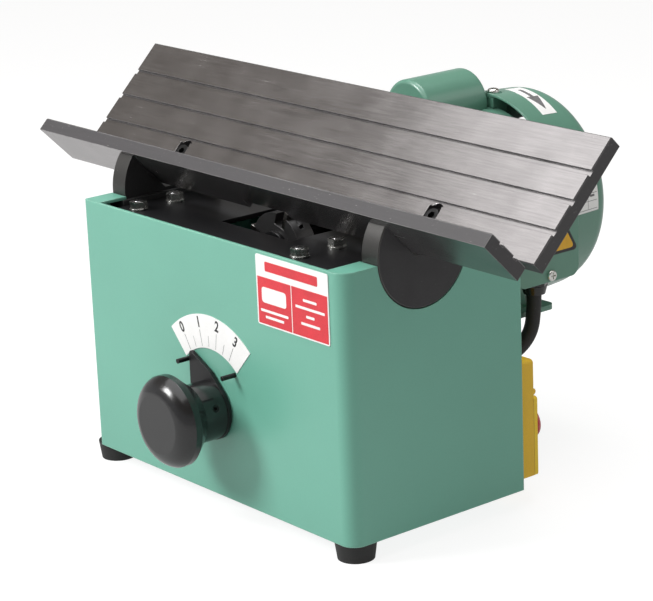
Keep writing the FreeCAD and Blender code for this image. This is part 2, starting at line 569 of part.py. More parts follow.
# ---------------------------------------------------------------- depth control
def knob():
    def at(y, r):
        return Vector(r, y, 0)
    back_r, rim_y0, rim_y1 = 21.0, -108.5, -104.0
    outline = [Part.LineSegment(at(KNOB_BACK, 0), at(KNOB_BACK, back_r)),
               Part.LineSegment(at(KNOB_BACK, back_r), at(rim_y1, KNOB_R)),
               Part.LineSegment(at(rim_y1, KNOB_R), at(rim_y0, KNOB_R)),
               Part.Arc(at(rim_y0, KNOB_R), at(-114.4, 26.0), at(Y_FRONT, KNOB_FLAT_R)),
               Part.LineSegment(at(Y_FRONT, KNOB_FLAT_R), at(Y_FRONT, 0)),
               Part.LineSegment(at(Y_FRONT, 0), at(KNOB_BACK, 0))]
    face = Part.Face(Part.Wire([curve.toShape() for curve in outline]))
    solid = face.revolve(Vector(0, 0, 0), Y_AXIS, 360)
    solid.translate(Vector(0, 0, KNOB_Z))
    return solid.cut(rod_y(SHAFT_R, -112.0, KNOB_BACK + 1, 0, KNOB_Z))


HUB_SCREW_Y, HUB_SCREW_DEG = -84.0, 21.0
SHAFT_Y1 = 16.0


def knob_hub():
    hub = tube_y(HUB_R, SHAFT_R, KNOB_BACK, POINTER_Y0, 0, KNOB_Z)
    return hub.cut(radial_rod(HUB_SCREW_DEG, 2.5, 0, HUB_R + 1, HUB_SCREW_Y, KNOB_Z))


def pointer():
    outline = [(-19.9, 0), (-19.5, 34.2), (-18.3, 35.6), (-16.9, 35.2), (1.8, 25.6), (11.6, 16.5), (0, 0)]
    corners = [Vector(x, POINTER_Y0, KNOB_Z + z) for x, z in outline]
    blade = Part.Face(Part.makePolygon(corners + corners[:1])).extrude(Vector(0, POINTER_Y1 - POINTER_Y0, 0))
    plate = fuse([rod_y(20.0, POINTER_Y0, POINTER_Y1, 0, KNOB_Z), blade])
    return plate.cut(rod_y(SHAFT_R, POINTER_Y0 - 1, POINTER_Y1 + 1, 0, KNOB_Z))


def control_shaft():
    return rod_y(SHAFT_R, -112.0, SHAFT_Y1, 0, KNOB_Z)


def eccentric_cam():
    cam = rod_y(CAM_R, CAM_Y0, CAM_Y1, CAM_X, KNOB_Z + CAM_Z)
    cam = fuse([cam, rod_y(10.0, CAM_Y0 - 6, CAM_Y0 + 1, 0, KNOB_Z)])
    cam = cam.cut(rod_y(SHAFT_R, CAM_Y0 - 7, CAM_Y1 + 1, 0, KNOB_Z))
    return cam.cut(rod_x(2.0, 0, 20, CAM_Y0 - 3, KNOB_Z))


def set_screws():
    """Grub screws of the knob hub and of the cam."""
    pieces = []
    for deg, r, r1, y in ((HUB_SCREW_DEG, 2.5, HUB_R - 0.4, HUB_SCREW_Y), (0.0, 2.0, 9.6, CAM_Y0 - 3)):
        x, z = polar(1.0, deg)
        screw = radial_rod(deg, r, SHAFT_R, r1, y, KNOB_Z)
        socket = hexagon_rod(r, 2.5, Vector(x * (r1 - 2.0), y, KNOB_Z + z * (r1 - 2.0)), Vector(x, 0, z))
        pieces.append(screw.cut(socket))
    return group(pieces)


def control_bushing():
    profile = [(FRONT - 0.6, SHAFT_R + RUN), (FRONT - 0.6, 8.0), (FRONT + SHEET, 8.0), (FRONT + SHEET, 13.0),
               (FRONT + SHEET + 4, 13.0), (FRONT + SHEET + 4, 10.0), (FRONT + SHEET + 12, 10.0),
               (FRONT + SHEET + 12, SHAFT_R + RUN)]
    return turned_y(profile, 0, KNOB_Z)


def bearing_block():
    block = rounded_box(-22, 22, -6, 10, BASE_Z1, 84.0, 8.0, Y_AXIS)
    block = fuse([block, box(-22, 22, -6, 10, BASE_Z1, BASE_Z1 + 12)])
    block = block.cut(rod_y(SHAFT_R + RUN, -7, 11, 0, KNOB_Z))
    return block.cut(group([rod_z(3.0, BASE_Z1 - 1, BASE_Z1 + 14, x, y) for x, y in BLOCK_SCREWS]))


def stop_pins():
    pins = []
    for deg in PIN_DEGS:
        x, z = polar(PIN_RING, deg)
        pins.append(rod_y(PIN_R, FRONT - PIN_REACH, FRONT + SHEET, x, KNOB_Z + z))
    return group(pins)


def dial_plate():
    ring = tube_y(DIAL_R1, DIAL_R0, FRONT - 0.5, FRONT, 0, KNOB_Z)
    corners = [Vector(0, FRONT - 0.5, KNOB_Z)]
    for i in range(7):
        x, z = polar(2 * DIAL_R1, 90 - DIAL_HALF + 2 * DIAL_HALF * i / 6)
        corners.append(Vector(x, FRONT - 0.5, KNOB_Z + z))
    wedge = Part.Face(Part.makePolygon(corners + corners[:1])).extrude(Vector(0, 0.5, 0))
    return ring.common(wedge)


def front_label():
    return rounded_box(52.0, 122.0, FRONT - 0.5, FRONT, 139.6, 184.7, 1.5, Y_AXIS)


# ---------------------------------------------------------------- carriage
PAD_Z = KNOB_Z + CAM_Z + CAM_R + RUN
MOUNT_X = 74.0
MOUNT_SCREWS = [(x, (LIFT_Z0 + LIFT_Z1) / 2) for x in (-55.0, -25.0, 25.0, 55.0)]
BELL_SCREW_R, TIE_R = 42.0, 54.0


def lift_plate():
    """The plate that rides the four posts; the pad under it rests on the cam."""
    plate = box(-116, 116, -66, MOUNT_Y0, LIFT_Z0, LIFT_Z1)
    pad = box(-15, 15, CAM_Y0 - 1, CAM_Y1 + 1, PAD_Z, LIFT_Z0 + 1)
    plate = fuse([plate, pad])
    cutters = [rod_z(10.0, LIFT_Z0 - 1, LIFT_Z1 + 1, x, y) for x, y in POSTS]
    cutters += [rod_y(3.0, MOUNT_Y0 - 14, MOUNT_Y0 + 1, x, z) for x, z in MOUNT_SCREWS]
    return plate.cut(group(cutters))


def guide_bushes():
    bushes = []
    for x, y in POSTS:
        bush = fuse([rod_z(10.0, LIFT_Z0 - 8, LIFT_Z1 + 8, x, y), rod_z(13.0, LIFT_Z1, LIFT_Z1 + 3, x, y)])
        bushes.append(bush.cut(rod_z(POST_R + RUN, LIFT_Z0 - 9, LIFT_Z1 + 9, x, y)))
    return group(bushes)


def ring_points(r, degrees):
    return [(polar(r, deg)[0], MOTOR_Z + polar(r, deg)[1]) for deg in degrees]


BELL_SCREWS = ring_points(BELL_SCREW_R, (0, 90, 180, 270))
TIE_BOLTS = ring_points(TIE_R, (45, 135, 225, 315))


def motor_mount_plate():
    """An upright plate with two welded gussets; the motor is bolted to its rear face."""
    plate = box(-MOUNT_X, MOUNT_X, MOUNT_Y0, MOUNT_Y1, WINDOW_Z, CAB_Z1 - 2.5)
    gussets = []
    for x0 in (-66.0, 60.0):
        corners = [Vector(x0, 12, LIFT_Z1), Vector(x0, MOUNT_Y0 + 1, LIFT_Z1), Vector(x0, MOUNT_Y0 + 1, 152),
                   Vector(x0, MOUNT_Y0 - 4, 152), Vector(x0, 12, LIFT_Z1 + 8)]
        gussets.append(Part.Face(Part.makePolygon(corners + corners[:1])).extrude(Vector(6, 0, 0)))
    plate = fuse([plate] + gussets)
    cutters = [rod_y(13.0, MOUNT_Y0 - 1, MOUNT_Y1 + 1, 0, MOTOR_Z)]
    cutters += [rod_y(3.0, MOUNT_Y0 - 1, MOUNT_Y1 + 1, x, z) for x, z in MOUNT_SCREWS + BELL_SCREWS]
    return plate.cut(group(cutters))


def mount_screws():
    screws = [socket_screw(3.0, 5.0, 6.0, 22.0, Vector(x, MOUNT_Y1, z), -Y_AXIS) for x, z in MOUNT_SCREWS]
    screws += [socket_screw(3.0, 5.0, 6.0, 16.0, Vector(x, MOUNT_Y0, z), Y_AXIS) for x, z in BELL_SCREWS]
    return group(screws)


# ---------------------------------------------------------------- motor
def front_bell():
    y0, y1 = BELL_Y0, SHELL_Y0
    profile = [(y0, 10.5), (y0, SHELL_R), (y1, SHELL_R), (y1, SHELL_R - 1.6), (y1 + 5, SHELL_R - 1.6),
               (y1 + 5, 57.0), (y0 + 8, 57.0), (y0 + 8, 27.0), (88.0, 27.0), (88.0, 20.0), (76.0, 20.0),
               (76.0, 10.5)]
    bell = turned_y(profile, 0, MOTOR_Z)
    holes = [rod_y(3.0, y0 - 1, y0 + 7, x, z) for x, z in BELL_SCREWS]
    holes += [rod_y(2.2, y0 + 2, y0 + 9, x, z) for x, z in TIE_BOLTS]
    return bell.cut(group(holes))


def motor_shell():
    return tube_y(SHELL_R, SHELL_R - 1.5, SHELL_Y0, SHELL_Y1, 0, MOTOR_Z)


def stator_core():
    core = tube_y(CORE_R, ROTOR_R + 0.5, CORE_Y0, CORE_Y1, 0, MOTOR_Z)
    return core.cut(group([rod_y(2.2, CORE_Y0 - 1, CORE_Y1 + 1, x, z) for x, z in TIE_BOLTS]))


def end_windings():
    front = [(CORE_Y0, 34.0), (CORE_Y0 - 6, 34.0), (CORE_Y0 - 9, 38.0), (CORE_Y0 - 9, 46.0),
             (CORE_Y0 - 6, 50.5), (CORE_Y0, 50.5)]
    rear = [(CORE_Y0 + CORE_Y1 - y, r) for y, r in front]
    return group([turned_y(front, 0, MOTOR_Z), turned_y(rear, 0, MOTOR_Z)])


def radial_box(deg, r0, r1, width, y0, y1):
    """A block that stands out from the motor axis at an angle seen from the front."""
    lug = box(r0, r1, y0, y1, -width / 2, width / 2)
    lug.rotate(Vector(0, 0, 0), Y_AXIS, -deg)
    lug.translate(Vector(0, 0, MOTOR_Z))
    return lug


def radial_rod(deg, r, r0, r1, y, axis_z=MOTOR_Z):
    """A round bar that stands out from the motor's axis, or from another one along Y."""
    x, z = polar(1.0, deg)
    return Part.makeCylinder(r, r1 - r0, Vector(x * r0, y, axis_z + z * r0), Vector(x, 0, z))


def rear_bell():
    """The rear end bell and, bolted to its rim, three lugs that carry the fan cover."""
    y1 = SHELL_Y1
    profile = [(y1, SHELL_R), (REAR_BELL_Y1, SHELL_R), (REAR_BELL_Y1, 7.0), (169.0, 7.0), (169.0, 17.5),
               (158.0, 17.5), (158.0, 23.0), (y1, 23.0), (y1, 57.0), (y1 - 5, 57.0), (y1 - 5, SHELL_R - 1.6),
               (y1, SHELL_R - 1.6)]
    bell = turned_y(profile, 0, MOTOR_Z)
    bell = bell.cut(group([rod_y(2.2, y1 - 1, y1 + 7, x, z) for x, z in TIE_BOLTS]))
    lugs = []
    for deg in LUG_ANGLES:
        lug = fuse([radial_box(deg, 57.0, LUG_R, 13.0, REAR_BELL_Y1, LUG_Y + 6),
                    radial_box(deg, SHELL_R + 0.1, LUG_R, 13.0, COWL_Y0 + 0.4, REAR_BELL_Y1 + 1)])
        lugs.append(lug.cut(radial_rod(deg, SCREW_R, LUG_R - 10, LUG_R + 1, LUG_Y)))
    return group([bell] + lugs)


def tie_bolts():
    bolts = []
    for x, z in TIE_BOLTS:
        head = hexagon_rod(7.0, 3.0, Vector(x, REAR_BELL_Y1, z), Y_AXIS)
        bolts.append(fuse([head, rod_y(2.2, BELL_Y0 + 3, REAR_BELL_Y1 + 1, x, z)]))
    return group(bolts)


def bearing(y0, y1, r_in, r_out):
    """A sealed ball bearing with shallow recesses between its rings."""
    mid_in, mid_out = r_in + (r_out - r_in) * 0.28, r_in + (r_out - r_in) * 0.74
    profile = [(y0, r_in), (y0, mid_in), (y0 + 0.7, mid_in), (y0 + 0.7, mid_out), (y0, mid_out), (y0, r_out),
               (y1, r_out), (y1, mid_out), (y1 - 0.7, mid_out), (y1 - 0.7, mid_in), (y1, mid_in), (y1, r_in)]
    return turned_y(profile, 0, MOTOR_Z)


def bearings():
    return group([bearing(76.0, 88.0, 8.5 + RUN, 20.0), bearing(158.0, 169.0, 7.5 + RUN, 17.5)])


def cowl_solid(inset):
    """The fan cover's outline as a solid, drawn in by the sheet thickness."""
    y0 = COWL_Y0 - (1.0 if inset else 0.0)
    y1 = COWL_Y1 - inset
    slope = (COWL_R0 - COWL_R1) / (COWL_Y1 - COWL_Y0)
    profile = [(y0, 0), (y0, COWL_R0 - inset - slope * (y0 - COWL_Y0)),
               (y1, COWL_R0 - inset - slope * (y1 - COWL_Y0)), (y1, 0)]
    solid = turned_y(profile, 0, MOTOR_Z)
    rear = [e for e in solid.Edges if e.Length > 300 and e.CenterOfMass.y > y1 - 0.1]
    return solid.makeFillet(COWL_ROUND - inset, rear)


def fan_cover():
    sheet = 1.5
    outer = cowl_solid(0.0)
    cover = outer.cut(cowl_solid(sheet))
    bosses = [radial_rod(deg, 7.5, LUG_R + 0.1, COWL_R0, LUG_Y).common(outer) for deg in LUG_ANGLES]
    cover = fuse([cover] + bosses)
    cutters = []
    for deg in LUG_ANGLES:
        cutters.append(radial_rod(deg, 6.0, LUG_R + 1.6, COWL_R0 + 3, LUG_Y))
        cutters.append(radial_rod(deg, SCREW_R, LUG_R - 1, COWL_R0, LUG_Y))
    cover = cover.cut(group(cutters))
    bridges = group([box(-80, 80, COWL_Y1 - 5, COWL_Y1 + 2, MOTOR_Z - 4, MOTOR_Z + 4),
                     box(-4, 4, COWL_Y1 - 5, COWL_Y1 + 2, MOTOR_Z - 80, MOTOR_Z + 80)])
    for r in (14.0, 22.0, 30.0, 38.0, 46.0):
        slots = tube_y(r + 2.2, r - 2.2, COWL_Y1 - 3, COWL_Y1 + 1, 0, MOTOR_Z)
        cover = cover.cut(slots.cut(bridges))
    return cover


def cover_screws():
    """Cross-head screws of the fan cover and of the terminal cover."""
    screws = []
    for deg in LUG_ANGLES:
        x, z = polar(1.0, deg)
        seat = Vector(x * (LUG_R + 1.6), LUG_Y, MOTOR_Z + z * (LUG_R + 1.6))
        screws.append(cross_screw(SCREW_R, 4.3, 3.8, 9.0, seat, Vector(-x, 0, -z)))
    for y, z in COVER_SCREWS:
        seat = Vector(BOX_X1 + COVER_T, y, z)
        screws.append(cross_screw(SCREW_R, SCREW_HEAD_R, SCREW_HEAD_H, 6.5, seat, -X_AXIS))
    return group(screws)


def capacitor_outline(inset):
    """The half-round hood, drawn in by the sheet thickness, with rounded ends."""
    y0, y1 = CAP_Y0 + inset, CAP_Y1 - inset
    r = CAP_R - inset
    solid = fuse([rod_y(r, y0, y1, CAP_X, CAP_Z), box(CAP_X - r, CAP_X + r, y0, y1, 200.0, CAP_Z)])
    ends = [e for e in solid.Edges
            if min(abs(e.CenterOfMass.y - y0), abs(e.CenterOfMass.y - y1)) < 0.01 and e.CenterOfMass.z > 201]
    return solid.makeFillet(3.0 - inset, ends)


def capacitor_cover():
    hood = capacitor_outline(0.0).cut(capacitor_outline(1.5))
    return hood.cut(rod_y(SHELL_R, CAP_Y0 - 5, CAP_Y1 + 5, 0, MOTOR_Z))


def capacitor():
    can = rod_y(11.0, 124.0, 162.0, CAP_X, 236.5)
    ends = [e for e in can.Edges if e.Length > 60]
    can = can.makeFillet(1.5, ends)
    tabs = [box(CAP_X + dx - 0.4, CAP_X + dx + 0.4, 161.0, 166.5, 233.5, 239.5) for dx in (-4.0, 4.0)]
    return fuse([can] + tabs)


COVER_SCREWS = [(143.0, 131.9), (143.0, 179.6)]
GLAND_R = 6.5


def terminal_box():
    tray = rounded_box(BOX_X0, BOX_X1, BOX_Y0, BOX_Y1, BOX_Z0, BOX_Z1, 7.0, X_AXIS)
    hollow = rounded_box(66.0, BOX_X1 + 1, BOX_Y0 + 2, BOX_Y1 - 2, BOX_Z0 + 2, BOX_Z1 - 2, 5.0, X_AXIS)
    bosses = [rod_x(4.2, BOX_X1 - 5, BOX_X1, y, z) for y, z in COVER_SCREWS]
    tray = fuse([tray.cut(hollow)] + bosses)
    cutters = [rod_y(SHELL_R, BOX_Y0 - 1, BOX_Y1 + 1, 0, MOTOR_Z)]
    cutters += [rod_x(SCREW_R, BOX_X1 - 12, BOX_X1 + 1, y, z) for y, z in COVER_SCREWS]
    cutters.append(rod_z(GLAND_R, BOX_Z0 - 1, BOX_Z0 + 3, GLAND_X, GLAND_Y))
    return tray.cut(group(cutters))


def terminal_cover():
    cover = rounded_box(BOX_X1, BOX_X1 + COVER_T, BOX_Y0, BOX_Y1, BOX_Z0, BOX_Z1, 7.0, X_AXIS)
    cover = cover.cut(group([rod_x(SCREW_R, BOX_X1 - 1, BOX_X1 + 3, y, z) for y, z in COVER_SCREWS]))
    return cover


def cable_gland():
    """The gland under the terminal box, with its lock nut inside."""
    x, y, z = GLAND_X, GLAND_Y, BOX_Z0
    body = fuse([rod_z(GLAND_R, z - 3, z + 7, x, y), hexagon_rod(17.0, 4.5, Vector(x, y, z - 4.5), Z_AXIS),
                 Part.makeCone(7.4, 9.0, 6.0, Vector(x, y, z - 10.5))])
    nut = hexagon_rod(15.0, 3.5, Vector(x, y, z + 2), Z_AXIS, 30)
    bore = rod_z(LEAD_R + GAP, z - 12, z + 9, x, y)
    return group([body.cut(bore), nut.cut(rod_z(GLAND_R, z, z + 9, x, y))])


def lead_path():
    """Corner points and bend radii of the motor lead, from the terminal box to the switch."""
    return [(Vector(GLAND_X, GLAND_Y, BOX_Z0 + 12), 0), (Vector(GLAND_X, GLAND_Y, 86), 24.0),
            (Vector(LEAD_HOLE_X, 100, LEAD_Z), 24.0), (Vector(LEAD_HOLE_X, 38, LEAD_Z), 20.0),
            (Vector(LEAD_IN_X, 38, LEAD_Z), 20.0), (Vector(LEAD_IN_X, SWITCH_Y0 + 5, LEAD_Z), 0)]


def motor_lead():
    """The motor lead: straight runs joined by tangent bends."""
    path = lead_path()
    edges = []
    start = path[0][0]
    for i in range(1, len(path) - 1):
        corner, r = path[i]
        back = (path[i - 1][0] - corner).normalize()
        ahead = (path[i + 1][0] - corner).normalize()
        half = back.getAngle(ahead) / 2
        reach = r / math.tan(half)
        first, last = corner + back * reach, corner + ahead * reach
        bisector = (back + ahead).normalize()
        middle = corner + bisector * (r / math.sin(half) - r)
        edges.append(Part.LineSegment(start, first).toShape())
        edges.append(Part.Arc(first, middle, last).toShape())
        start = last
    edges.append(Part.LineSegment(start, path[-1][0]).toShape())
    wire = Part.Wire(edges)
    section = Part.Wire([Part.Circle(path[0][0], Z_AXIS, LEAD_R).toShape()])
    return wire.makePipeShell([section], True, True)


def motor_foot():
    y0, y1 = 95.0, 170.0
    z0, z1 = FOOT_PLATE_Z, FOOT_PLATE_Z + FOOT_PLATE_T
    plate = rounded_box(-FOOT_PLATE_X, FOOT_PLATE_X, y0, y1, z0, z1, 5.0, Z_AXIS)
    webs = []
    for y in (y0 + 9, y1 - 13):
        webs += sides(16.0, 46.0, y, y + 4, z0 + 1, 119.0)
    foot = fuse([plate] + webs).cut(rod_y(SHELL_R, y0 - 1, y1 + 1, 0, MOTOR_Z))
    slots = []
    for x in (-54.0, 54.0):
        for y in (y0 + 20, y1 - 24):
            slots.append(flat_slot(x, y - 8, y + 8, 3.6, z0 - 1, z1 + 1))
    return foot.cut(group(slots))


# ---------------------------------------------------------------- spindle
REST_TURN = 20.0
INSERT_X0, INSERT_X1, INSERT_T = 16.5, CUT_TIP_R - 0.25, 3.2


def motor_shaft():
    profile = [(CUT_Y0 + 0.5, 0), (CUT_Y0 + 0.5, 7.0), (CUT_Y1, 7.0), (CUT_Y1, 11.0), (5, 11.0), (5, 9.0),
               (76, 9.0), (76, 8.5), (88, 8.5), (88, 10.0), (158, 10.0), (158, 7.5), (169, 7.5), (169, 6.0),
               (200, 6.0), (200, 0)]
    shaft = turned_y(profile, 0, MOTOR_Z)
    return shaft.cut(rod_y(4.0, CUT_Y0 - 1, 12.0, 0, MOTOR_Z))


def rotor():
    profile = [(CORE_Y0 - 4, 10.0), (CORE_Y0 - 4, 28.0), (CORE_Y0, 28.0), (CORE_Y0, ROTOR_R),
               (CORE_Y1 - 1, ROTOR_R), (CORE_Y1 - 1, 10.0)]
    return turned_y(profile, 0, MOTOR_Z)


def cooling_fan():
    y0 = 183.0
    hub = rod_y(12.0, y0, y0 + 13, 0, MOTOR_Z)
    plate = rod_y(52.0, y0, y0 + 2, 0, MOTOR_Z)
    blades = [radial_box(60 * i, 10.0, 51.0, 2.0, y0 + 1, y0 + 15) for i in range(6)]
    fan = fuse([hub, plate] + blades)
    return fan.cut(rod_y(6.0, y0 - 1, y0 + 18, 0, MOTOR_Z))


def around_spindle(solid):
    """Four copies about the motor axis, from a layout that points along +X at z = 0."""
    copies = []
    for i in range(4):
        copy = solid.copy()
        copy.rotate(Vector(0, 0, 0), Y_AXIS, REST_TURN + 90 * i)
        copy.translate(Vector(0, 0, MOTOR_Z))
        copies.append(copy)
    return copies


def cutter_body():
    body = tube_y(CUT_BODY_R, 7.0, CUT_Y0, CUT_Y1, 0, MOTOR_Z)
    pocket = box(INSERT_X0, 30, CUT_Y0 - 1, CUT_Y1 + 1, -INSERT_T, 7.0)
    hole = rod_z(1.8, -12.0, 0, 22.5, (CUT_Y0 + CUT_Y1) / 2)
    return body.cut(group(around_spindle(pocket))).cut(group(around_spindle(hole)))


def cutter_inserts():
    insert = box(INSERT_X0, INSERT_X1, CUT_Y0 + 0.3, CUT_Y1 - 0.3, -INSERT_T, 0)
    insert = insert.cut(rod_z(1.8, -9, 1, 22.5, (CUT_Y0 + CUT_Y1) / 2))
    return group(around_spindle(insert))


def cutter_fasteners():
    """The cutter bolt with its washer, and a screw for each insert."""
    bolt = socket_screw(4.0, 6.5, 8.0, 24.0, Vector(0, CUT_Y0 - 3, MOTOR_Z), Y_AXIS)
    washer = tube_y(13.0, 4.0, CUT_Y0 - 3, CUT_Y0, 0, MOTOR_Z)
    screw = socket_screw(1.8, 3.0, 1.4, 11.0, Vector(22.5, (CUT_Y0 + CUT_Y1) / 2, 0), -Z_AXIS)
    return group([bolt, washer] + around_spindle(screw))


# ---------------------------------------------------------------- write the pieces
PIECES = {
    "cabinet_shell": cabinet_shell,
    "base_plate": base_plate,
    "rear_panel": rear_panel,
    "panel_screws": panel_screws,
    "rubber_feet": rubber_feet,
    "frame_screws": frame_screws,
    "deck_plate": deck_plate,
    "guide_posts": guide_posts,
    "deck_nuts": deck_nuts,
    "saddle_blocks": saddle_blocks,
    "tilt_clamps": tilt_clamps,
    "control_bushing": control_bushing,
    "bearing_block": bearing_block,
    "stop_pins": stop_pins,
    "dial_plate": dial_plate,
    "front_label": front_label,
    "switch_base": switch_base,
    "contact_block": contact_block,
    "start_button": start_button,
    "switch_flap": switch_flap,
    "stop_button": stop_button,
    "lead_grommets": lead_grommets,
    "mains_gland": mains_gland,
    "trunnion_right": lambda: trunnion(1, DISC_R_RIGHT),
    "trunnion_left": lambda: trunnion(-1, DISC_R_LEFT),
    "fence_plate": fence_plate,
    "short_plate": short_plate,
    "plate_screws": plate_screws,
    "knob": knob,
    "knob_hub": knob_hub,
    "pointer": pointer,
    "control_shaft": control_shaft,
    "eccentric_cam": eccentric_cam,
    "set_screws": set_screws,
    "lift_plate": lift_plate,
    "guide_bushes": guide_bushes,
    "motor_mount_plate": motor_mount_plate,
    "mount_screws": mount_screws,
    "front_bell": front_bell,
    "motor_shell": motor_shell,
    "stator_core": stator_core,
    "end_windings": end_windings,
    "rear_bell": rear_bell,
    "tie_bolts": tie_bolts,
    "bearings": bearings,
    "fan_cover": fan_cover,
    "cover_screws": cover_screws,
    "capacitor_cover": capacitor_cover,
    "capacitor": capacitor,
    "terminal_box": terminal_box,
    "terminal_cover": terminal_cover,
    "cable_gland": cable_gland,
    "motor_lead": motor_lead,
    "motor_foot": motor_foot,
    "motor_shaft": motor_shaft,
    "rotor": rotor,
    "cooling_fan": cooling_fan,
    "cutter_body": cutter_body,
    "cutter_inserts": cutter_inserts,
    "cutter_fasteners": cutter_fasteners,
}


def save(name, shape):
    shape.translate(ORIGIN_SHIFT)
    if not shape.isValid() or not shape.Solids:
        raise ValueError(name + " is not a valid solid")
    shape.exportStep("parts/" + name + ".step")


os.makedirs("parts", exist_ok=True)
for piece_name, make in PIECES.items():
    save(piece_name, make())
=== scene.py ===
import json
import math

import bpy
from mathutils import Matrix, Vector


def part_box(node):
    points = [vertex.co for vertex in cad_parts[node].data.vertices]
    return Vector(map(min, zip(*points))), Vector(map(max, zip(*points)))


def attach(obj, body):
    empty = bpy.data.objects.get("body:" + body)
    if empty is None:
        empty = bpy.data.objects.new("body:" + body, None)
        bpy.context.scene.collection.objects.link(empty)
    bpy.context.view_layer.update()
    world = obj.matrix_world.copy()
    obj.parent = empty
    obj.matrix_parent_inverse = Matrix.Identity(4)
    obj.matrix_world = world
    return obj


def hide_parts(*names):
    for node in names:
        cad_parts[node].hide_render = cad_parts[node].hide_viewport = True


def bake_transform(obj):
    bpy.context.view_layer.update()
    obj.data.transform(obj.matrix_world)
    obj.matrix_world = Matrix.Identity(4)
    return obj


# Looks of the bench-top chamfering machine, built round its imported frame.
# Lengths are metres in the row frame. A point that goes through spot() is in millimetres from the cabinet's
# plan centre at bench height, as in the CAD: X along the table, Y from the front to the motor, Z up.

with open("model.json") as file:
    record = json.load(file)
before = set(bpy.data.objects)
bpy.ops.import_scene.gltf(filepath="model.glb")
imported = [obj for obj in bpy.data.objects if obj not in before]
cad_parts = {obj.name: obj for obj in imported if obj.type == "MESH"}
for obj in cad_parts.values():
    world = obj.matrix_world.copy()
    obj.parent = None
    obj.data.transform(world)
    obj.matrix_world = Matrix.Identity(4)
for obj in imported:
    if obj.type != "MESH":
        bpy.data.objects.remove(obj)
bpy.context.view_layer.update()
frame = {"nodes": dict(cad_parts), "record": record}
NODES = frame["nodes"]
SLOT_OF = {part["node"]: part["material_slot"] for part in frame["record"]["subparts"]}

MM = 0.001
cabinet_lo, cabinet_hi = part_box("cabinet_shell")
CABINET = Vector(((cabinet_lo.x + cabinet_hi.x) / 2, (cabinet_lo.y + cabinet_hi.y) / 2, 0))


def spot(x, y, z):
    """A point in the row frame from millimetres in the CAD's axes."""
    return CABINET + Vector((x, y, z)) * MM


def polar(radius, degrees):
    return radius * math.cos(math.radians(degrees)), radius * math.sin(math.radians(degrees))


# ---------------------------------------------------------------- objects and meshes
def add_object(name, data):
    """A new object in the scene."""
    made = bpy.data.objects.new(name, data)
    bpy.context.scene.collection.objects.link(made)
    return made


def mesh_of(curve):
    """The mesh that a curve or a text makes."""
    holder = add_object(curve.name, curve)
    bpy.context.view_layer.update()
    mesh = bpy.data.meshes.new_from_object(holder.evaluated_get(bpy.context.evaluated_depsgraph_get()))
    bpy.data.objects.remove(holder)
    return mesh


def plain_mesh(name, points, faces, material=None, smooth=False):
    """An object from points and faces."""
    mesh = bpy.data.meshes.new(name)
    mesh.from_pydata([tuple(p) for p in points], [], faces)
    mesh.update()
    if smooth:
        mesh.shade_smooth()
    if material:
        mesh.materials.append(MATERIALS[material])
    return add_object(name, mesh)


def settle(obj, body):
    """Let a piece ride its body."""
    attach(obj, body)
    return obj


def rectangle(u0, u1, v0, v1):
    return [(u0, v0), (u1, v0), (u1, v1), (u0, v1)]


def rounded(corners, radius, steps=5):
    """A closed outline with every corner replaced by a short curve."""
    points = []
    count = len(corners)
    for i in range(count):
        here, before, after = (Vector(corners[(i + k) % count]) for k in (0, -1, 1))
        start = here + (before - here).normalized() * radius
        end = here + (after - here).normalized() * radius
        for k in range(steps + 1):
            t = k / steps
            points.append(tuple(start * (1 - t) ** 2 + here * 2 * t * (1 - t) + end * t ** 2))
    return points


def prism_faces(first, count):
    """Bottom, top and sides of a prism whose two outlines start at point number first."""
    faces = [tuple(range(first + count - 1, first - 1, -1)), tuple(range(first + count, first + 2 * count))]
    for i in range(count):
        j = (i + 1) % count
        faces.append((first + i, first + j, first + count + j, first + count + i))
    return faces


def raised(name, outlines, place, lift, thickness, material, body):
    """Thin printed or stuck-on shapes: place(u, v, out) puts flat outline points on a surface."""
    points, faces = [], []
    for outline in outlines:
        faces += prism_faces(len(points), len(outline))
        for out in (lift, lift + thickness):
            points += [place(u, v, out) for u, v in outline]
    return settle(plain_mesh(name, points, faces, material), body)


def patch_points(corners, place, outs, nu, nv):
    """A grid of points inside four corners, once for each distance from the surface."""
    a, b, c, d = (Vector(corner) for corner in corners)
    points = []
    for out in outs:
        for i in range(nu + 1):
            for j in range(nv + 1):
                s, t = i / nu, j / nv
                p = (a * (1 - s) + b * s) * (1 - t) + (d * (1 - s) + c * s) * t
                points.append(place(p.x, p.y, out))
    return points


def patch_faces(first, nu, nv):
    """Top, bottom and four sides of a patch with two layers of grid points."""
    layer = (nu + 1) * (nv + 1)

    def at(i, j, top):
        return first + top * layer + i * (nv + 1) + j

    faces = []
    for i in range(nu):
        for j in range(nv):
            faces.append((at(i, j, 1), at(i + 1, j, 1), at(i + 1, j + 1, 1), at(i, j + 1, 1)))
            faces.append((at(i, j, 0), at(i, j + 1, 0), at(i + 1, j + 1, 0), at(i + 1, j, 0)))
    for i in range(nu):
        faces.append((at(i, 0, 0), at(i + 1, 0, 0), at(i + 1, 0, 1), at(i, 0, 1)))
        faces.append((at(i + 1, nv, 0), at(i, nv, 0), at(i, nv, 1), at(i + 1, nv, 1)))
    for j in range(nv):
        faces.append((at(0, j + 1, 0), at(0, j, 0), at(0, j, 1), at(0, j + 1, 1)))
        faces.append((at(nu, j, 0), at(nu, j + 1, 0), at(nu, j + 1, 1), at(nu, j, 1)))
    return faces


def wrapped(name, patches, place, lift, thickness, material, body, steps):
    """As raised(), for a curved surface: each patch is four corners, filled with a grid of steps."""
    points, faces = [], []
    for corners in patches:
        faces += patch_faces(len(points), *steps)
        points += patch_points(corners, place, (lift, lift + thickness), *steps)
    return settle(plain_mesh(name, points, faces, material), body)


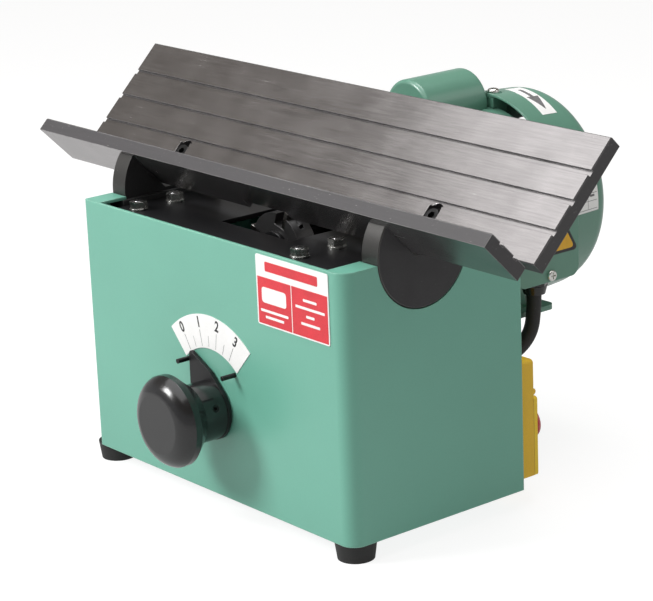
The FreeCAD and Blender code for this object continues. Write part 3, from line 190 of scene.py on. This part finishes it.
# ---------------------------------------------------------------- camera
AZIMUTH, ELEVATION, ROLL = math.radians(51.19), math.radians(16.66), math.radians(-2.33)
CAMERA_AT = Vector((1.22582, -1.01309, 0.59286))
LENS, SENSOR = 137.02, 36.0
CLIP_START, CLIP_END = 0.05, 60.0


def make_camera():
    """A long lens, in front of the machine's right end and a little above it."""
    data = bpy.data.cameras.new("camera")
    data.lens, data.sensor_width = LENS, SENSOR
    data.clip_start, data.clip_end = CLIP_START, CLIP_END
    camera = add_object("camera", data)
    level = math.cos(ELEVATION)
    back = Vector((math.sin(AZIMUTH) * level, -math.cos(AZIMUTH) * level, math.sin(ELEVATION)))
    right = Vector((math.cos(AZIMUTH), math.sin(AZIMUTH), 0))
    up = back.cross(right)
    x_axis = right * math.cos(ROLL) + up * math.sin(ROLL)
    y_axis = up * math.cos(ROLL) - right * math.sin(ROLL)
    turn = Matrix((x_axis, y_axis, back)).transposed().to_4x4()
    camera.matrix_world = Matrix.Translation(CAMERA_AT) @ turn
    bpy.context.scene.camera = camera


# ---------------------------------------------------------------- node helpers
def node(tree, kind, inputs=None, **settings):
    """A shader node; inputs are values or other nodes' sockets, by name or number."""
    made = tree.nodes.new(kind)
    for key, value in settings.items():
        setattr(made, key, value)
    for key, value in (inputs or {}).items():
        if isinstance(value, bpy.types.NodeSocket):
            tree.links.new(value, made.inputs[key])
        else:
            made.inputs[key].default_value = value
    return made


def ramp_node(tree, factor, stops):
    """A colour ramp with a stop at each (place, colour)."""
    made = node(tree, "ShaderNodeValToRGB", {0: factor})
    elements = made.color_ramp.elements
    while len(elements) < len(stops):
        elements.new(0.5)
    for element, (place, color) in zip(elements, stops):
        element.position = place
        element.color = (*color, 1.0)
    return made


def mix_color(tree, factor, a, b, blend="MIX"):
    """Mix two colours; a and b are sockets or RGB triples."""
    a, b = (c if isinstance(c, bpy.types.NodeSocket) else (*c, 1.0) for c in (a, b))
    return node(tree, "ShaderNodeMix", {0: factor, 6: a, 7: b}, data_type="RGBA", blend_type=blend).outputs[2]


def math_node(tree, operation, a, b=0.0):
    return node(tree, "ShaderNodeMath", {0: a, 1: b}, operation=operation).outputs[0]


def dot_product(tree, a, b):
    return node(tree, "ShaderNodeVectorMath", {0: a, 1: b}, operation="DOT_PRODUCT").outputs["Value"]


def map_range(tree, value, low, high, to_low, to_high):
    return node(tree, "ShaderNodeMapRange", {0: value, 1: low, 2: high, 3: to_low, 4: to_high}).outputs[0]


def noise(tree, coords, size, stretch=(1, 1, 1), detail=3.0, roughness=0.55):
    """Noise whose features are about size metres across, squeezed by stretch along each axis."""
    mapping = node(tree, "ShaderNodeMapping", {"Vector": coords, "Scale": stretch})
    made = node(tree, "ShaderNodeTexNoise", {"Vector": mapping.outputs[0], "Scale": 1.0 / size,
                                             "Detail": detail, "Roughness": roughness})
    return made.outputs[0]


# ---------------------------------------------------------------- studio
MIDDLE = (0, -0.05, 0.15)
DUSK = (0.16, 0.14, 0.115)
# Sky colour by how far up a direction points: 0 is the horizon and below, 1 is straight up. The dusky band is
# what the steel plates reflect.
SKY = [(0.0, (0.45, 0.45, 0.45)), (0.25, (0.38, 0.38, 0.38)), (0.45, DUSK), (0.75, DUSK),
       (1.0, (0.40, 0.40, 0.41))]
# name, place, the point it faces, width, height, watts
LIGHTS = [
    ("key", (-0.937, -1.803, 1.495), MIDDLE, 0.75, 0.75, 46),
    ("overhead", (-0.10, -0.40, 0.98), (-0.10, -0.40, 0), 1.2, 1.0, 6.5),
    ("motor_top", (-0.10, 0.28, 1.10), (0, 0.12, 0.26), 0.5, 0.4, 4.0),
    ("rear_fill", (1.81, 1.46, 1.66), MIDDLE, 1.6, 1.0, 7),
]
# name, depth below the feet, grey, glow, whether it is the copy that the camera sees
FLOORS = [("floor", 0.0002, 0.22, 0.86, True), ("floor_bounce", 0.0006, 0.35, 0.30, False)]
FLOOR_HALF = 9.0


def softbox(name, at, toward, width, height, watts):
    """A rectangular light that faces a point."""
    data = bpy.data.lights.new(name, "AREA")
    data.shape = "RECTANGLE"
    data.size, data.size_y = width, height
    data.energy = watts
    lamp = add_object(name, data)
    lamp.location = at
    lamp.rotation_mode = "QUATERNION"
    lamp.rotation_quaternion = (Vector(toward) - Vector(at)).to_track_quat("-Z", "Y")
    lamp.visible_camera = False


def make_floor(name, depth, grey, glow, for_camera):
    """A plain floor; one copy is what the camera sees and the other is what the machine sees."""
    corners = rectangle(-FLOOR_HALF, FLOOR_HALF, -FLOOR_HALF, FLOOR_HALF)
    floor = plain_mesh(name, [(x, y, 0) for x, y in corners], [(0, 1, 2, 3)])
    floor.location.z = -depth
    pale = bpy.data.materials.new(name + "_pale")
    pale.use_nodes = True
    shader = pale.node_tree.nodes["Principled BSDF"]
    shader.inputs["Base Color"].default_value = (grey, grey, grey, 1)
    shader.inputs["Roughness"].default_value = 0.9
    shader.inputs["Specular IOR Level"].default_value = 0.1
    shader.inputs["Emission Color"].default_value = (1, 1, 1, 1)
    shader.inputs["Emission Strength"].default_value = glow
    floor.data.materials.append(pale)
    floor.visible_camera = for_camera
    floor.visible_diffuse = not for_camera
    floor.visible_glossy = not for_camera
    floor.visible_shadow = not for_camera


def make_sky():
    world = bpy.data.worlds.new("studio")
    bpy.context.scene.world = world
    world.use_nodes = True
    tree = world.node_tree
    tree.nodes.clear()
    coords = node(tree, "ShaderNodeTexCoord")
    split = node(tree, "ShaderNodeSeparateXYZ", {0: coords.outputs["Generated"]})
    ramp = ramp_node(tree, split.outputs["Z"], SKY)
    background = node(tree, "ShaderNodeBackground", {0: ramp.outputs[0], 1: 1.0})
    node(tree, "ShaderNodeOutputWorld", {0: background.outputs[0]})


def make_studio():
    bpy.context.scene.view_settings.view_transform = "Standard"
    make_sky()
    for light in LIGHTS:
        softbox(*light)
    for floor in FLOORS:
        make_floor(*floor)


# ---------------------------------------------------------------- surface layers
GRAIN_DARKNESS = 3.0  # how much darker the grain gets for each unit of grain_mix
GROUND_RANGE = (0.93, 0.98)  # cosine to the ground direction at which a face starts and ends being raw


def mottled(tree, color, mottle, broad):
    """The base colour in broad clouds, a little darker and a little lighter."""
    dark = [c * (1 - mottle) for c in color]
    light = [min(1.0, c * (1 + mottle)) for c in color]
    return mix_color(tree, map_range(tree, broad, 0.3, 0.7, 0, 1), dark, light)


def grained(tree, tone, grain_mix, fine):
    """Darker where the fine grain is low."""
    shade = [1 - GRAIN_DARKNESS * grain_mix] * 3
    darker = mix_color(tree, 1.0, tone, shade, "MULTIPLY")
    return mix_color(tree, map_range(tree, fine, 0.62, 0.30, 0, 1), tone, darker)


def raw_mask(tree, normal, ground):
    """0 on the faces that look along the ground direction, either way, and 1 on all others."""
    along = math_node(tree, "ABSOLUTE", dot_product(tree, normal, ground))
    return map_range(tree, along, GROUND_RANGE[1], GROUND_RANGE[0], 0, 1)


def specked(tree, coords, tone, specks, speck_color, speck_size):
    """Sparse light specks; there are more of them as specks rises."""
    dots = noise(tree, coords, speck_size, detail=1.0)
    dots = map_range(tree, dots, 0.80 - 0.1 * specks, 0.86 - 0.1 * specks, 0, 0.85)
    return mix_color(tree, dots, tone, speck_color)


def worn(tree, tone, bevel, broad, edge_highlight_wear, edge_highlight_wear_mix):
    """A lighter rim along the edges, patchy as the broad clouds go: a painted highlight mixed with wear."""
    geometry = node(tree, "ShaderNodeNewGeometry")
    bend = dot_product(tree, bevel, geometry.outputs["Normal"])
    rim = map_range(tree, bend, 0.995, 0.90, 0, edge_highlight_wear_mix)
    rim = math_node(tree, "MULTIPLY", rim, map_range(tree, broad, 0.35, 0.6, 0.35, 1.0))
    return mix_color(tree, rim, tone, edge_highlight_wear)


def relief(tree, coords, fine, bevel, bump, ripple, ripple_size):
    """Bump from the grain and, where a finish has one, from a longer ripple."""
    height = fine
    if ripple:
        wave = noise(tree, coords, ripple_size, detail=2.0)
        height = math_node(tree, "ADD", fine, math_node(tree, "MULTIPLY", wave, ripple / bump))
    return node(tree, "ShaderNodeBump", {"Strength": 1.0, "Distance": bump, "Height": height,
                                         "Normal": bevel}).outputs[0]


def finish_material(name, color, rough, metallic=0.0, coat=0.0, coat_rough=0.08, specular=0.5,
                    mottle=0.10, mottle_size=0.06, grain=(1, 1, 1), grain_size=0.0012, grain_mix=0.10,
                    rough_spread=0.05, bump=0.00002, ripple=0.0, ripple_size=0.004,
                    edge_highlight_wear=None, edge_highlight_wear_mix=0.5, edge_radius=0.0006,
                    specks=0.0, speck_color=(0.6, 0.6, 0.58), speck_size=0.0007,
                    ground=None, raw=(0.1, 0.1, 0.1), raw_rough=0.5, raw_metallic=0.0):
    """One procedural surface: broad mottling, fine grain, varied gloss, bump, rounded edges with a painted
    highlight and wear, specks.

    ground is the direction of the ground faces, both ways. All other faces get the raw colour and gloss, as
    the scaled edges and saw-cut ends of a bar have.
    """
    material = bpy.data.materials.new(name)
    material.use_nodes = True
    tree = material.node_tree
    tree.nodes.clear()
    coords_node = node(tree, "ShaderNodeTexCoord")
    coords = coords_node.outputs["Object"]
    broad = noise(tree, coords, mottle_size, detail=4.0)
    fine = noise(tree, coords, grain_size, grain, detail=4.0, roughness=0.65)
    bevel = node(tree, "ShaderNodeBevel", {"Radius": edge_radius}, samples=4).outputs[0]

    tone = grained(tree, mottled(tree, color, mottle, broad), grain_mix, fine)
    both = math_node(tree, "ADD", broad, fine)
    gloss = map_range(tree, both, 0.6, 1.4, rough - rough_spread, rough + rough_spread)
    if ground is not None:
        mask = raw_mask(tree, coords_node.outputs["Normal"], ground)
        cut = mix_color(tree, fine, [c * 0.8 for c in raw], [c * 1.2 for c in raw])
        tone = mix_color(tree, mask, tone, cut)
        gloss = node(tree, "ShaderNodeMix", {0: mask, 2: gloss, 3: raw_rough}, data_type="FLOAT").outputs[0]
        metallic = map_range(tree, mask, 0, 1, metallic, raw_metallic)
    if specks:
        tone = specked(tree, coords, tone, specks, speck_color, speck_size)
    # A lighter rim along the edges: painted highlight mixed with wear.
    if edge_highlight_wear is not None:
        tone = worn(tree, tone, bevel, broad, edge_highlight_wear, edge_highlight_wear_mix)

    normal = relief(tree, coords, fine, bevel, bump, ripple, ripple_size)
    shader = node(tree, "ShaderNodeBsdfPrincipled", {
        "Base Color": tone, "Roughness": gloss, "Metallic": metallic, "Coat Weight": coat,
        "Coat Roughness": coat_rough, "Specular IOR Level": specular, "Normal": normal})
    node(tree, "ShaderNodeOutputMaterial", {0: shader.outputs[0]})
    return material


# ---------------------------------------------------------------- materials
GREEN = (0.155, 0.425, 0.325)
MOTOR_GREEN = (0.112, 0.265, 0.195)
BLACK = (0.012, 0.012, 0.013)
# Ground flat bar: brushed along X, with a few light specks, dark scale on its edges and ends, and a painted
# highlight mixed with wear on its rims.
TABLE_STEEL = dict(color=(0.40, 0.385, 0.39), rough=0.25, metallic=0.95, mottle=0.10, mottle_size=0.035,
                   grain=(0.035, 1, 1), grain_size=0.0011, grain_mix=0.05, rough_spread=0.03, bump=0.000006,
                   edge_highlight_wear=(0.70, 0.69, 0.68), edge_highlight_wear_mix=0.65, edge_radius=0.0005, specks=0.55,
                   speck_color=(0.55, 0.53, 0.50), speck_size=0.0009, raw=(0.052, 0.049, 0.052), raw_rough=0.5)
SLOPE = 0.7071  # both table plates stand at 45 degrees
# The lighter edge colours below are painted highlights along the edges, mixed with wear.
RECIPES = {
    "cabinet_paint": dict(color=GREEN, rough=0.34, coat=0.25, coat_rough=0.2, mottle=0.035, mottle_size=0.12,
                          grain_mix=0.012, bump=0.000004, ripple=0.00003, ripple_size=0.0045,
                          edge_highlight_wear=(0.42, 0.78, 0.62), edge_highlight_wear_mix=0.85, edge_radius=0.0011),
    "motor_paint": dict(color=MOTOR_GREEN, rough=0.33, coat=0.35, coat_rough=0.16, mottle=0.05,
                        mottle_size=0.09, grain_mix=0.015, bump=0.000005, ripple=0.00004, ripple_size=0.004,
                        edge_highlight_wear=(0.22, 0.46, 0.35), edge_highlight_wear_mix=0.6, edge_radius=0.0008),
    "black_enamel": dict(color=(0.007, 0.007, 0.008), rough=0.42, coat=0.08, specular=0.35, mottle=0.2,
                         grain_mix=0.03, bump=0.000003, ripple=0.00003, ripple_size=0.006,
                         edge_highlight_wear=(0.03, 0.03, 0.03), specks=0.2, speck_color=(0.12, 0.12, 0.12)),
    "zinc_sheet": dict(color=(0.55, 0.56, 0.57), rough=0.38, metallic=1.0, mottle=0.16, mottle_size=0.02,
                       grain_mix=0.05, edge_highlight_wear=(0.75, 0.75, 0.75)),
    "zinc_hardware": dict(color=(0.78, 0.78, 0.75), rough=0.17, metallic=1.0, mottle=0.10, mottle_size=0.006,
                          grain_mix=0.04, bump=0.00001, edge_highlight_wear=(0.95, 0.95, 0.93), edge_radius=0.0004),
    # A darker copy of zinc_hardware, used on the deck nuts.
    "darker_zinc": dict(color=(0.48, 0.48, 0.46), rough=0.26, metallic=1.0, mottle=0.14, mottle_size=0.006,
                      grain_mix=0.06, bump=0.00001, edge_highlight_wear=(0.90, 0.90, 0.88), edge_radius=0.0004),
    "ground_steel": dict(color=(0.60, 0.60, 0.61), rough=0.24, metallic=1.0, mottle=0.08, mottle_size=0.03,
                         grain_size=0.0006, grain_mix=0.06, bump=0.000006, edge_highlight_wear=(0.85, 0.85, 0.85)),
    "fence_steel": dict(TABLE_STEEL, ground=(0.0, -SLOPE, SLOPE)),
    "short_steel": dict(TABLE_STEEL, ground=(0.0, SLOPE, SLOPE)),
    "dark_steel": dict(color=(0.060, 0.059, 0.060), rough=0.42, metallic=0.7, mottle=0.14, mottle_size=0.03,
                       grain_size=0.0009, grain_mix=0.07, bump=0.000012, edge_highlight_wear=(0.20, 0.20, 0.20),
                       edge_highlight_wear_mix=0.4, specks=0.2),
    "disc_steel": dict(color=(0.045, 0.044, 0.046), rough=0.42, metallic=0.5, mottle=0.14, mottle_size=0.03,
                       grain_size=0.0009, grain_mix=0.07, bump=0.000012, edge_highlight_wear=(0.42, 0.42, 0.41),
                       edge_highlight_wear_mix=0.3, specks=0.3, ground=(1.0, 0.0, 0.0), raw=(0.060, 0.058, 0.056),
                       raw_rough=0.38, raw_metallic=0.6),
    "black_oxide": dict(color=(0.022, 0.022, 0.023), rough=0.34, metallic=0.6, mottle=0.2, mottle_size=0.004,
                        grain_mix=0.06, edge_highlight_wear=(0.22, 0.22, 0.22), edge_highlight_wear_mix=0.55, edge_radius=0.0003),
    "black_iron": dict(color=(0.030, 0.030, 0.031), rough=0.62, metallic=0.3, mottle=0.25, mottle_size=0.01,
                       grain_mix=0.10, bump=0.00006, edge_highlight_wear=(0.12, 0.12, 0.12)),
    "core_steel": dict(color=(0.36, 0.34, 0.33), rough=0.46, metallic=0.95, mottle=0.10, mottle_size=0.02,
                       grain=(0.05, 1, 0.05), grain_size=0.0005, grain_mix=0.14, bump=0.00005,
                       edge_highlight_wear=(0.50, 0.49, 0.48)),
    "cast_aluminium": dict(color=(0.60, 0.60, 0.61), rough=0.44, metallic=1.0, mottle=0.09, mottle_size=0.012,
                           grain_size=0.0009, grain_mix=0.08, bump=0.00004, edge_highlight_wear=(0.80, 0.80, 0.80)),
    "bronze": dict(color=(0.56, 0.37, 0.17), rough=0.32, metallic=1.0, mottle=0.14, mottle_size=0.008,
                   grain_mix=0.07, edge_highlight_wear=(0.80, 0.60, 0.33)),
    "copper_wire": dict(color=(0.50, 0.20, 0.08), rough=0.27, metallic=0.9, mottle=0.16, mottle_size=0.008,
                        grain=(0.12, 1, 0.12), grain_size=0.0011, grain_mix=0.16, bump=0.0004, coat=0.5),
    "carbide": dict(color=(0.17, 0.16, 0.15), rough=0.28, metallic=1.0, mottle=0.08, mottle_size=0.004,
                    grain_mix=0.05, edge_highlight_wear=(0.45, 0.44, 0.42), edge_radius=0.0002),
    "black_rubber": dict(color=(0.022, 0.022, 0.022), rough=0.62, mottle=0.2, mottle_size=0.015,
                         grain_mix=0.10, bump=0.00005, edge_highlight_wear=(0.05, 0.05, 0.05), specks=0.25,
                         speck_color=(0.12, 0.12, 0.11)),
    "black_plastic": dict(color=BLACK, rough=0.22, coat=0.3, coat_rough=0.14, mottle=0.15, mottle_size=0.03,
                          grain_mix=0.03, bump=0.000006, edge_highlight_wear=(0.045, 0.045, 0.045), specks=0.2,
                          speck_color=(0.14, 0.14, 0.14)),
    # yellow_plastic is the switch's yellow darkened with painted shade; bright_yellow, on the flap, is the
    # same plastic lit.
    "yellow_plastic": dict(color=(0.86, 0.53, 0.025), rough=0.40, mottle=0.05, mottle_size=0.04,
                           grain_size=0.0007, grain_mix=0.03, bump=0.00003, edge_highlight_wear=(0.95, 0.72, 0.16),
                           edge_highlight_wear_mix=0.4),
    "bright_yellow": dict(color=(0.98, 0.66, 0.03), rough=0.36, mottle=0.04, mottle_size=0.04,
                          grain_size=0.0007, grain_mix=0.03, bump=0.00003, edge_highlight_wear=(0.98, 0.80, 0.25),
                          edge_highlight_wear_mix=0.4),
    "red_plastic": dict(color=(0.50, 0.015, 0.022), rough=0.28, coat=0.3, mottle=0.06, mottle_size=0.01,
                        grain_mix=0.03, bump=0.00001, edge_highlight_wear=(0.70, 0.10, 0.09)),
    "green_plastic": dict(color=(0.02, 0.30, 0.09), rough=0.28, coat=0.3, mottle=0.06, mottle_size=0.01,
                          grain_mix=0.03, bump=0.00001, edge_highlight_wear=(0.10, 0.45, 0.20)),
    "white_label": dict(color=(0.88, 0.88, 0.87), rough=0.34, mottle=0.03, mottle_size=0.02, grain_mix=0.012,
                        bump=0.000004, edge_highlight_wear=(0.70, 0.70, 0.69), edge_radius=0.0002),
    "red_label": dict(color=(0.70, 0.035, 0.050), rough=0.36, mottle=0.07, mottle_size=0.012, grain_mix=0.05,
                      grain_size=0.0006, bump=0.000005, edge_highlight_wear=(0.80, 0.25, 0.24), edge_radius=0.0002),
    "ink": dict(color=(0.035, 0.035, 0.037), rough=0.5, mottle=0.25, mottle_size=0.002, grain_mix=0.10,
                grain_size=0.0004, bump=0.000003),
    "grey_ink": dict(color=(0.16, 0.16, 0.165), rough=0.5, mottle=0.25, mottle_size=0.002, grain_mix=0.08,
                     grain_size=0.0004, bump=0.000003),
    "hazard_yellow": dict(color=(0.80, 0.44, 0.02), rough=0.36, mottle=0.05, mottle_size=0.01,
                          grain_mix=0.02, bump=0.000004),
}
MATERIALS = {name: finish_material(name, **recipe) for name, recipe in RECIPES.items()}
# Nodes that look different from the material slot they are made of.
OWN_LOOKS = {"front_label": "white_label", "fence_plate": "fence_steel", "short_plate": "short_steel",
             "trunnion_left": "disc_steel", "trunnion_right": "disc_steel", "deck_nuts": "darker_zinc",
             "switch_flap": "bright_yellow", "rear_bell": "motor_paint", "tie_bolts": "black_oxide"}


def paint_frame():
    """Give every CAD node its material."""
    for name, obj in NODES.items():
        obj.data.materials.clear()
        obj.data.materials.append(MATERIALS[OWN_LOOKS.get(name) or SLOT_OF[name]])
        for polygon in obj.data.polygons:
            polygon.material_index = 0


# ---------------------------------------------------------------- dial
KNOB_Z = 71.0  # height of the knob's axis
FRONT_Y = -72.5  # outer face of the dial plate and of the label plate
DIAL_ANGLES = (121.5, 101.8, 82.0, 62.0)  # of the figures 0 to 3
TICK_START, TICK_END, HALF_TICK_END = 41.2, 52.0, 48.5
TICK_HALF, HALF_TICK_HALF = 0.16, 0.13
PRINT = 0.06  # thickness of printed lines
FIGURE_R, FIGURE_SIZE, FIGURE_WIDTH = 56.8, 10.0, 0.82
FIGURE_LIFT, FIGURE_DEPTH, FIGURE_WEIGHT = 0.05, 0.04, 0.24


def on_front(u, v, out):
    return spot(u, FRONT_Y - out, v)


def radial_bar(degrees, r0, r1, half):
    """The outline of a tick that points at the knob's axis."""
    side = Vector(polar(half, degrees - 90))
    inner, outer = (Vector(polar(r, degrees)) for r in (r0, r1))
    return [(p.x, p.y + KNOB_Z) for p in (inner + side, outer + side, outer - side, inner - side)]


def dial_figure(number, angle):
    """One figure, standing upright along its own radius."""
    text = bpy.data.curves.new("dial_figure", "FONT")
    text.body = str(number)
    text.size = FIGURE_SIZE * MM
    text.align_x, text.align_y = "CENTER", "CENTER"
    text.extrude = FIGURE_DEPTH * MM
    text.offset = FIGURE_WEIGHT * MM
    mesh = mesh_of(text)
    out = Vector((0, -1, 0))
    up = Vector((math.cos(math.radians(angle)), 0, math.sin(math.radians(angle))))
    turn = Matrix((up.cross(out), up, out)).transposed().to_4x4()
    x, z = polar(FIGURE_R, angle)
    at = Matrix.Translation(spot(x, FRONT_Y - FIGURE_LIFT, KNOB_Z + z))
    mesh.transform(at @ turn @ Matrix.Diagonal((FIGURE_WIDTH, 1.0, 1.0, 1.0)))
    mesh.materials.clear()
    mesh.materials.append(MATERIALS["ink"])
    settle(add_object(f"dial_figure_{number}", mesh), "cabinet")


def make_dial():
    bars = [radial_bar(angle, TICK_START, TICK_END, TICK_HALF) for angle in DIAL_ANGLES]
    halves = [(a + b) / 2 for a, b in zip(DIAL_ANGLES, DIAL_ANGLES[1:])]
    bars += [radial_bar(angle, TICK_START, HALF_TICK_END, HALF_TICK_HALF) for angle in halves]
    raised("dial_ticks", bars, on_front, 0.0, PRINT, "grey_ink", "cabinet")
    for number, angle in enumerate(DIAL_ANGLES):
        dial_figure(number, angle)


# ---------------------------------------------------------------- front label
LABEL_X, LABEL_Z = (52.0, 122.0), (139.6, 184.7)
PANEL_TOP, PANEL_SPLIT = 0.69, 0.49  # as shares of the label's height and width
RIM_LEFT, RIM_RIGHT, RIM_LOW, PANEL_GAP = 1.2, 1.0, 1.0, 0.8  # white left round the red panels
TITLE_LEFT, TITLE_RIGHT, TITLE_LOW, TITLE_HIGH = 9.0, 10.0, 4.2, 3.6  # white left round the title bar
PANEL_PRINT, BAR_PRINT = 0.08, 0.05
BAR_HEIGHT = 1.7
LEFT_BARS = ((13.5, 148.5), (9.0, 144.6))  # half length and lower edge of each white bar
RIGHT_BARS = ((6.5, 163.0), (14.0, 158.0), (4.0, 153.0), (9.0, 148.0))
BLOCK_HALF, BLOCK_Z = 12.0, (154.5, 164.5)  # the blank panel above the left bars


def white_bar(middle, half, low):
    return rounded(rectangle(middle - half, middle + half, low, low + BAR_HEIGHT), 0.5, 3)


def make_front_label():
    """Two red panels under a red title bar, with plain white bars in place of wording."""
    x0, x1 = LABEL_X
    z0, z1 = LABEL_Z
    top = z0 + (z1 - z0) * PANEL_TOP
    split = x0 + (x1 - x0) * PANEL_SPLIT
    panels = [rectangle(x0 + RIM_LEFT, split - PANEL_GAP / 2, z0 + RIM_LOW, top),
              rectangle(split + PANEL_GAP / 2, x1 - RIM_RIGHT, z0 + RIM_LOW, top)]
    title = rounded(rectangle(x0 + TITLE_LEFT, x1 - TITLE_RIGHT, top + TITLE_LOW, z1 - TITLE_HIGH), 1.0)
    left, right = (x0 + split) / 2, (split + x1) / 2
    bars = [white_bar(left, *bar) for bar in LEFT_BARS] + [white_bar(right, *bar) for bar in RIGHT_BARS]
    bars.append(rounded(rectangle(left - BLOCK_HALF, left + BLOCK_HALF, *BLOCK_Z), 2.5))
    raised("label_panels", panels, on_front, 0.0, PANEL_PRINT, "red_label", "cabinet")
    raised("label_title_bar", [title], on_front, 0.0, PANEL_PRINT, "red_label", "cabinet")
    raised("label_bars", bars, on_front, PANEL_PRINT, BAR_PRINT, "white_label", "cabinet")


# ---------------------------------------------------------------- motor decals
MOTOR_Z = 164.8
COWL_Y, COWL_R = (171.4, 220.0), (73.0, 69.6)  # the fan cover's skirt tapers to the rear
COVER_X = 90.0  # outer face of the terminal cover
DECAL_LIFT, ARROW_THICKNESS, NAME_PLATE_THICKNESS, TRIANGLE_PRINT = 0.03, 0.10, 0.25, 0.10
# Corners on the skirt are (degrees round the motor's axis, Y).
ARROW_PLATE = [(57.3, 187.0), (57.3, 201.0), (93.0, 206.0), (93.0, 192.0)]
ARROW_SHAFT = [(73.0, 194.8), (73.0, 198.0), (87.0, 200.4), (87.0, 197.2)]
ARROW_HEAD = [(61.5, 194.5), (61.5, 194.9), (75.0, 202.2), (75.0, 191.4)]
NAME_PLATE = rectangle(-3.0, 26.0, 177.5, 207.4)
RULE_HALF = 0.12
RULE_DEGREES, RULE_SPAN_Y = (-1.6, 3.0, 7.2, 11.4, 15.6, 19.8, 24.6), (179.0, 206.2)
RULE_Y, RULE_SPAN_DEGREES = (186.5, 197.0), (-1.6, 19.8)
RULE_BLOCK = rectangle(5.2, 6.4, 199.2, 203.6)
# Corners on the terminal cover are (Y, Z), with the radius that rounds them.
TRIANGLE_RIM, TRIANGLE_RIM_R = [(127.0, 145.2), (168.4, 145.2), (147.7, 181.6)], 5.0
TRIANGLE, TRIANGLE_R = [(130.6, 147.3), (164.8, 147.3), (147.7, 177.4)], 4.2


def on_cowl(degrees, y, out):
    slope = (y - COWL_Y[0]) / (COWL_Y[1] - COWL_Y[0])
    x, z = polar(COWL_R[0] + (COWL_R[1] - COWL_R[0]) * slope + out, degrees)
    return spot(x, y, MOTOR_Z + z)


def on_cover(u, v, out):
    return spot(COVER_X + out, u, v)


def make_motor_decals():
    """An arrow, a name plate with blank ruled fields, and a blank hazard triangle."""
    wrapped("arrow_label", [ARROW_PLATE], on_cowl, DECAL_LIFT, ARROW_THICKNESS, "white_label", "carriage",
            (6, 30))
    wrapped("arrow_print", [ARROW_SHAFT, ARROW_HEAD], on_cowl, DECAL_LIFT + ARROW_THICKNESS, 0.06, "grey_ink",
            "carriage", (8, 20))
    wrapped("name_plate", [NAME_PLATE], on_cowl, DECAL_LIFT, NAME_PLATE_THICKNESS, "white_label", "carriage",
            (30, 4))
    rules = [rectangle(a - RULE_HALF, a + RULE_HALF, *RULE_SPAN_Y) for a in RULE_DEGREES]
    rules += [rectangle(*RULE_SPAN_DEGREES, y - RULE_HALF, y + RULE_HALF) for y in RULE_Y]
    rules.append(RULE_BLOCK)
    wrapped("name_plate_rules", rules, on_cowl, DECAL_LIFT + NAME_PLATE_THICKNESS, 0.05, "grey_ink",
            "carriage", (12, 6))
    rim, inner = rounded(TRIANGLE_RIM, TRIANGLE_RIM_R, 8), rounded(TRIANGLE, TRIANGLE_R, 8)
    raised("cover_triangle_rim", [rim], on_cover, 0.0, TRIANGLE_PRINT, "ink", "carriage")
    raised("cover_triangle", [inner], on_cover, TRIANGLE_PRINT, 0.08, "hazard_yellow", "carriage")


# ---------------------------------------------------------------- motor lead
# Control points from the terminal box's gland, down and forward through the rear panel's grommet, then round
# to the right inside the cabinet and back out to the switch.
LEAD_ROUTE = [(75, 142, 128), (75, 142, 110), (73, 140, 86), (66, 122, 72), (55, 98, 66), (55, 78, 66),
              (54.5, 62, 66), (54.5, 47, 66), (65, 35, 66), (86, 35, 66), (96.5, 47, 66), (96, 62, 66),
              (96, 75, 66)]
LEAD_R = 5.0
LEAD_SIDES = 20
ROUTE_STEPS = 16


def spline_points(points):
    """Points along the smooth line that the route's points control."""
    curve = bpy.data.curves.new("line", "CURVE")
    curve.dimensions = "3D"
    spline = curve.splines.new("NURBS")
    spline.points.add(len(points) - 1)
    for target, p in zip(spline.points, points):
        target.co = (*p, 1.0)
    spline.order_u = 3
    spline.use_endpoint_u = True
    spline.resolution_u = ROUTE_STEPS
    return [vertex.co.copy() for vertex in mesh_of(curve).vertices]


def tube_along(name, path, radius, material):
    """A round tube along a path, its ring carried along without twisting."""
    points, faces = [], []
    normal = None
    for i, p in enumerate(path):
        ahead = (path[min(i + 1, len(path) - 1)] - path[max(i - 1, 0)]).normalized()
        if normal is None:
            normal = ahead.orthogonal().normalized()
        normal = (normal - ahead * normal.dot(ahead)).normalized()
        side = ahead.cross(normal)
        for k in range(LEAD_SIDES):
            angle = 2 * math.pi * k / LEAD_SIDES
            points.append(p + (normal * math.cos(angle) + side * math.sin(angle)) * radius)
    for i in range(len(path) - 1):
        for k in range(LEAD_SIDES):
            a, b = i * LEAD_SIDES + k, i * LEAD_SIDES + (k + 1) % LEAD_SIDES
            faces.append((a, b, b + LEAD_SIDES, a + LEAD_SIDES))
    faces.append(tuple(range(LEAD_SIDES - 1, -1, -1)))
    faces.append(tuple(range(len(points) - LEAD_SIDES, len(points))))
    return plain_mesh(name, points, faces, material, smooth=True)


def make_lead():
    """The motor's lead, one fixed tube from the carriage into the cabinet, in place of the CAD node's lead."""
    path = spline_points([spot(*p) for p in LEAD_ROUTE])
    lead = tube_along("motor_lead_jacket", path, LEAD_R * MM, "black_rubber")
    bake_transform(lead)
    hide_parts("motor_lead")


make_camera()
paint_frame()
make_studio()
make_lead()
make_dial()
make_front_label()
make_motor_decals()
